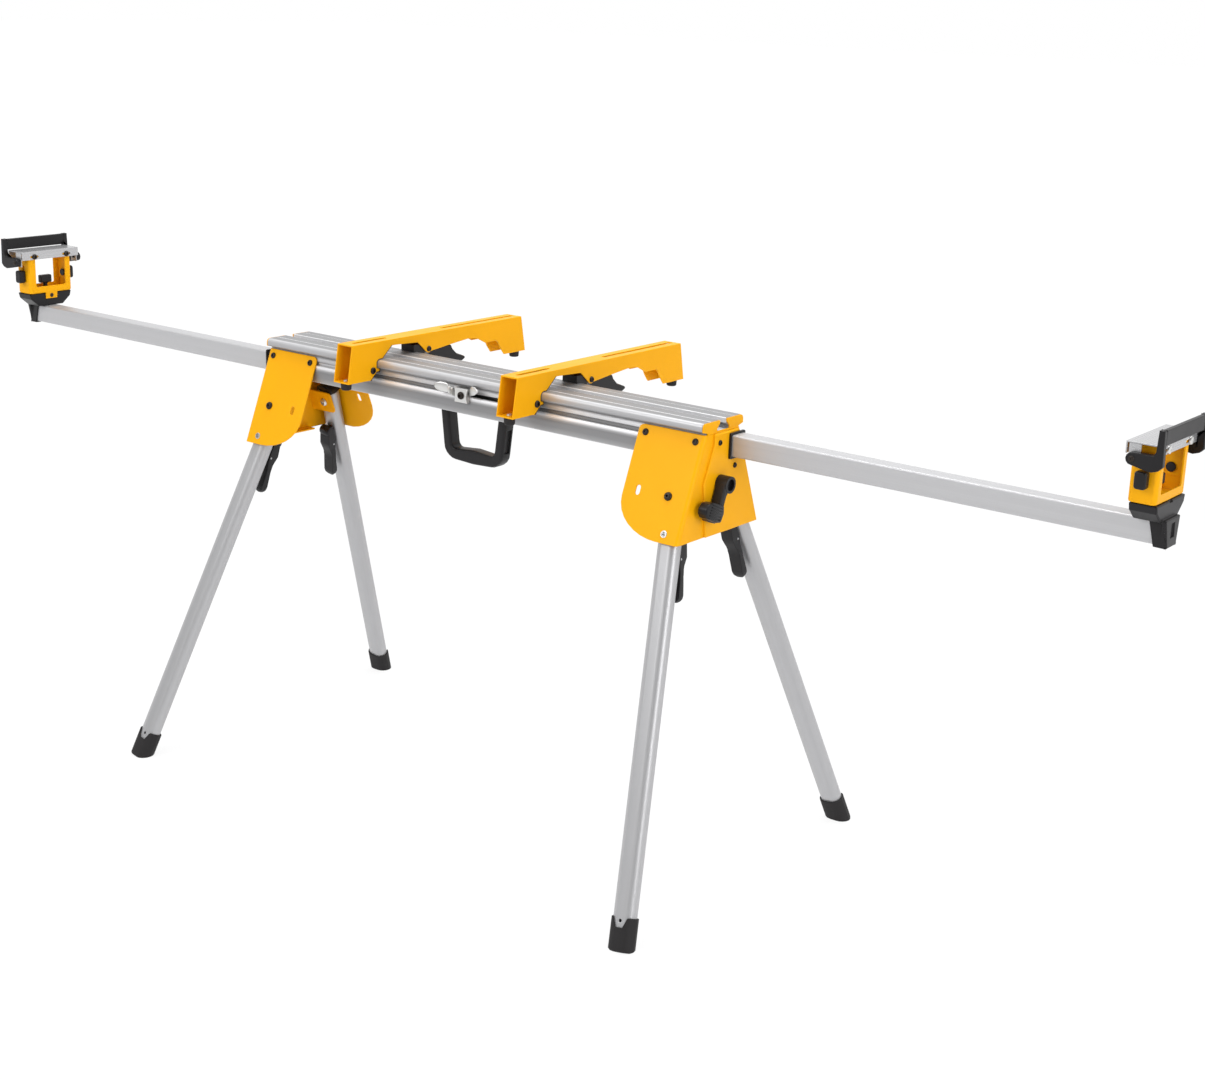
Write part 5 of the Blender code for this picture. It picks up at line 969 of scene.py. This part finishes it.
def moulded_handle():
    """The moulded handle: its limbs swell outwards and have a long recess on their outer sides."""
    low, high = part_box("carry_handle")
    middle = (low.x + high.x) / 2
    bm = welded("carry_handle")
    for vert in bm.verts:
        out = abs(vert.co.x - middle)
        if out > LIMB_START:
            swollen = LIMB_START + LIMB_SWELL * (out - LIMB_START)
            vert.co.x = middle + math.copysign(swollen, vert.co.x - middle)
    bmesh.ops.bisect_plane(bm, geom=bm.verts[:] + bm.edges[:] + bm.faces[:], dist=0.000001,
                           plane_co=(0.0, 0.0, high.z - FIXING_HEIGHT), plane_no=(0.0, 0.0, 1.0))
    outer = []
    for face in bm.faces:
        spot = face.calc_center_median()
        if (abs(face.normal.x) > 0.95 and face.calc_area() > LIMB_AREA
                and spot.z < high.z - FIXING_HEIGHT and abs(spot.x - middle) > LIMB_START):
            outer.append(face)
    if len(outer) != 2:
        raise RuntimeError("the handle has %d long sides" % len(outer))
    bmesh.ops.inset_individual(bm, faces=outer, thickness=RECESS_RIM, depth=0.0)
    bmesh.ops.inset_individual(bm, faces=outer, thickness=RECESS_WALL, depth=-RECESS_DEPTH)
    stand_in(bm, "carry_handle", "black")


def clip_face(middle):
    """The clip's square face with hollowed sides, folded back to the beam."""
    half_x, half_z = CLIP_HALF
    hollow = [(math.sin(math.pi * step / 8), half_z * (1 - step / 4)) for step in range(1, 8)]
    points = [(-half_x, half_z), (half_x, half_z)]
    points += [(half_x - CLIP_BITE * share, z) for share, z in hollow]
    points += [(half_x, -half_z), (-half_x, -half_z)]
    points += [(-half_x + CLIP_BITE / 3 * share, z) for share, z in reversed(hollow)]
    bm = bmesh.new()
    half, start = BEAM_WALL
    for vert in draw_out(bm, [(middle.x + x, -CLIP_FACE, middle.z + z) for x, z in points], (0, 0, 0)):
        vert.co.y = -half - (BEAM_TOP - vert.co.z - start) * math.tan(SPLAY)
    piece = hard_piece(bm, "centre_clip_finished", BODY_OF["centre_clip"], "bright", zinc())
    return round_edges(piece, CLIP_EDGE)


def bent_wing(name, middle, stations):
    """One wing, bent from a strip of sheet."""
    bm = bmesh.new()
    spans = len(stations) - 1
    bmesh.ops.create_grid(bm, x_segments=4 * spans, y_segments=8, size=1.0)
    for vert in bm.verts:
        reach = (vert.co.x + 1) / 2 * spans
        index = min(int(reach), spans - 1)
        x, rise, half, out = (near + (far - near) * (reach - index)
                              for near, far in zip(stations[index], stations[index + 1]))
        vert.co = (middle.x + x, -out + WING_BOW * vert.co.y ** 2, middle.z + rise + half * vert.co.y)
    piece = hard_piece(bm, name, BODY_OF["centre_clip"], "bright", zinc(), 70.0)
    thicken(piece, 0.0012)


class STAND_OT_middle(StandOperator, bpy.types.Operator):
    """The carry handle and the clip in the front slot"""
    bl_idname = "stand.middle"
    bl_label = "Handle and Clip"

    def execute(self, context):
        moulded_handle()
        low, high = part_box("centre_clip_bolt")
        middle = (low + high) / 2
        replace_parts(clip_face(middle), "centre_clip")
        bent_wing("clip_wing_left", middle, LEFT_WING)
        bent_wing("clip_wing_right", middle, RIGHT_WING)
        face = Vector((middle.x, -CLIP_FACE, middle.z))
        bolt = turned("centre_clip_bolt_finished", BODY_OF["centre_clip_bolt"], [(face, (0, -1, 0))],
                      socket_head(0.0068, 0.0040, 0.0030), "dark")
        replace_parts(bolt, "centre_clip_bolt")
        return {"FINISHED"}


# The stage

PALE = (0.86, 0.86, 0.87, 1.0)
WHITE = (1.0, 1.0, 1.0, 1.0)
FLOOR_GLOW = 0.85
SOFT_SKY = 0.62
# The floor's glow rises with the distance from the stand: near, far, and the glow at both
FAR_GLOW = (1.0, 9.0, 1.035, 1.13)
# The studio mirrored in metal is dimmer in front: the front's direction, and how the light falls towards it
FRONT = (0.30, -0.95, 0.0)
FRONT_FALL = (-0.15, 0.60, 1.0, 0.36)
# Each lamp's name, place, aim, size and power
LAMPS = (("key", (-1.4, -3.6, 3.2), (0.0, 0.0, 0.5), (2.6, 2.0), 76.0),
         ("side", (4.2, -0.9, 2.0), (0.2, 0.0, 0.6), (2.0, 2.0), 54.0),
         ("overhead", (0.2, 0.6, 4.0), (0.0, 0.0, 0.7), (3.6, 2.4), 98.0))
# The camera solved from the picture: size, focal length and centre in its pixels, place, aim and roll
PICTURE = (1205.0, 1080.0)
FOCAL = 1902.0
CENTRE = (615.0, 535.0)
EYE, AIM = Vector((2.185, -2.4933, 1.4628)), Vector((0.2952, 0.0, 0.5505))
ROLL = 0.0334
FILM = 36.0


def seen_rays(tree):
    """A Light Path's outputs, and whether a ray shows the background to the camera, metal or glass."""
    path = tree.nodes.new("ShaderNodeLightPath").outputs
    seen = math_node(tree, "ADD", path["Is Camera Ray"], path["Is Glossy Ray"], clamp=True)
    return path, math_node(tree, "ADD", seen, path["Is Transmission Ray"], clamp=True)


def mix_shaders(tree, share, first, second, output):
    """Two shaders mixed into an output."""
    mix = tree.nodes.new("ShaderNodeMixShader")
    for socket, source in zip(mix.inputs, (share, first.outputs[0], second.outputs[0])):
        tree.links.new(source, socket)
    tree.links.new(mix.outputs[0], output.inputs["Surface"])


def pale_floor():
    """A pale floor that stays white where the lamps no longer reach it."""
    bm = bmesh.new()
    bmesh.ops.create_grid(bm, x_segments=1, y_segments=1, size=40.0,
                          matrix=Matrix.Translation((0.0, 0.0, -0.0006)))
    mesh = bpy.data.meshes.new("floor")
    bm.to_mesh(mesh)
    bm.free()
    floor = add_object("floor", mesh)
    made = bpy.data.materials.new("pale_floor")
    made.use_nodes = True
    tree = made.node_tree
    shader = tree.nodes["Principled BSDF"]
    feed_all(tree, shader, {"Base Color": PALE, "Roughness": 0.9, "Specular IOR Level": 0.0})
    glow = tree.nodes.new("ShaderNodeEmission")
    spot = tree.nodes.new("ShaderNodeTexCoord").outputs["Object"]
    reach = vector_node(tree, "LENGTH", spot)["Value"]
    tree.links.new(eased(tree, reach, *FAR_GLOW), glow.inputs["Strength"])
    share = math_node(tree, "MULTIPLY", seen_rays(tree)[1], FLOOR_GLOW)
    mix_shaders(tree, share, shader, glow, tree.nodes["Material Output"])
    mesh.materials.append(made)


def soft_studio(scene):
    """A soft white studio all round, dimmer in front where metal mirrors it."""
    world = bpy.data.worlds.new("studio")
    scene.world = world
    world.use_nodes = True
    tree = world.node_tree
    tree.nodes.clear()
    path, seen = seen_rays(tree)
    soft, plain = tree.nodes.new("ShaderNodeBackground"), tree.nodes.new("ShaderNodeBackground")
    for light in (soft, plain):
        light.inputs["Color"].default_value = WHITE
    soft.inputs["Strength"].default_value = SOFT_SKY
    way = tree.nodes.new("ShaderNodeTexCoord").outputs["Generated"]
    facing = vector_node(tree, "DOT_PRODUCT", way, FRONT)["Value"]
    level = math_node(tree, "MAXIMUM", eased(tree, facing, *FRONT_FALL), path["Is Camera Ray"])
    tree.links.new(level, plain.inputs["Strength"])
    mix_shaders(tree, seen, soft, plain, tree.nodes.new("ShaderNodeOutputWorld"))


def picture_camera(scene):
    """The camera at the picture's place and angle."""
    width, height = PICTURE
    forward = (AIM - EYE).normalized()
    right = forward.cross(Vector((0, 0, 1))).normalized()
    up = right.cross(forward)
    tilted_right = math.cos(ROLL) * right + math.sin(ROLL) * up
    tilted_up = -math.sin(ROLL) * right + math.cos(ROLL) * up
    data = bpy.data.cameras.new("camera")
    data.sensor_fit = "HORIZONTAL"
    data.sensor_width = FILM
    data.lens = FOCAL / width * FILM
    data.shift_x = (width / 2 - CENTRE[0]) / width
    data.shift_y = (CENTRE[1] - height / 2) / width
    data.clip_start, data.clip_end = 0.05, 100.0
    camera = add_object("camera", data)
    turn = Matrix((tilted_right, tilted_up, -forward)).transposed().to_4x4()
    camera.matrix_world = Matrix.Translation(EYE) @ turn
    scene.camera = camera


def soft_lamp(name, spot, aim, size, power):
    """A soft lamp aimed at a point."""
    data = bpy.data.lights.new(name, "AREA")
    data.shape = "RECTANGLE"
    data.size, data.size_y = size
    data.energy = power
    lamp = add_object(name, data)
    lamp.location = spot
    lamp.rotation_euler = (Vector(aim) - Vector(spot)).to_track_quat("-Z", "Y").to_euler()


class STAND_OT_stage(StandOperator, bpy.types.Operator):
    """The pale floor, the soft lamps and the camera"""
    bl_idname = "stand.stage"
    bl_label = "Stage"

    def execute(self, context):
        pale_floor()
        soft_studio(context.scene)
        picture_camera(context.scene)
        for lamp in LAMPS:
            soft_lamp(*lamp)
        context.scene.view_settings.view_transform = "Standard"
        return {"FINISHED"}


class STAND_PT_panel(bpy.types.Panel):
    """The stand's sizes, colours and steps"""
    bl_label = "Miter Saw Stand"
    bl_idname = "STAND_PT_panel"
    bl_space_type = "VIEW_3D"
    bl_region_type = "UI"
    bl_category = "Saw Stand"

    def draw(self, context):
        layout = self.layout
        for group in (context.scene.stand_sizes, context.scene.stand_colours):
            for key in group.__annotations__:
                layout.prop(group, key)
        for operator in OPERATORS:
            layout.operator(operator.bl_idname)


OPERATORS = (STAND_OT_beam, STAND_OT_brackets, STAND_OT_extensions, STAND_OT_legs, STAND_OT_supports,
             STAND_OT_saw_arms, STAND_OT_middle, STAND_OT_stage)
CLASSES = (StandSizes, StandColours, *OPERATORS, STAND_PT_panel)


def register():
    for made in CLASSES:
        bpy.utils.register_class(made)
    bpy.types.Scene.stand_sizes = bpy.props.PointerProperty(type=StandSizes)
    bpy.types.Scene.stand_colours = bpy.props.PointerProperty(type=StandColours)


def unregister():
    del bpy.types.Scene.stand_sizes
    del bpy.types.Scene.stand_colours
    for made in reversed(CLASSES):
        bpy.utils.unregister_class(made)


def main():
    """Builds every piece in order."""
    register()
    bpy.ops.stand.beam()
    bpy.ops.stand.brackets()
    bpy.ops.stand.extensions()
    bpy.ops.stand.legs()
    bpy.ops.stand.supports()
    bpy.ops.stand.saw_arms()
    bpy.ops.stand.middle()
    bpy.ops.stand.stage()


if __name__ == "__main__":
    main()
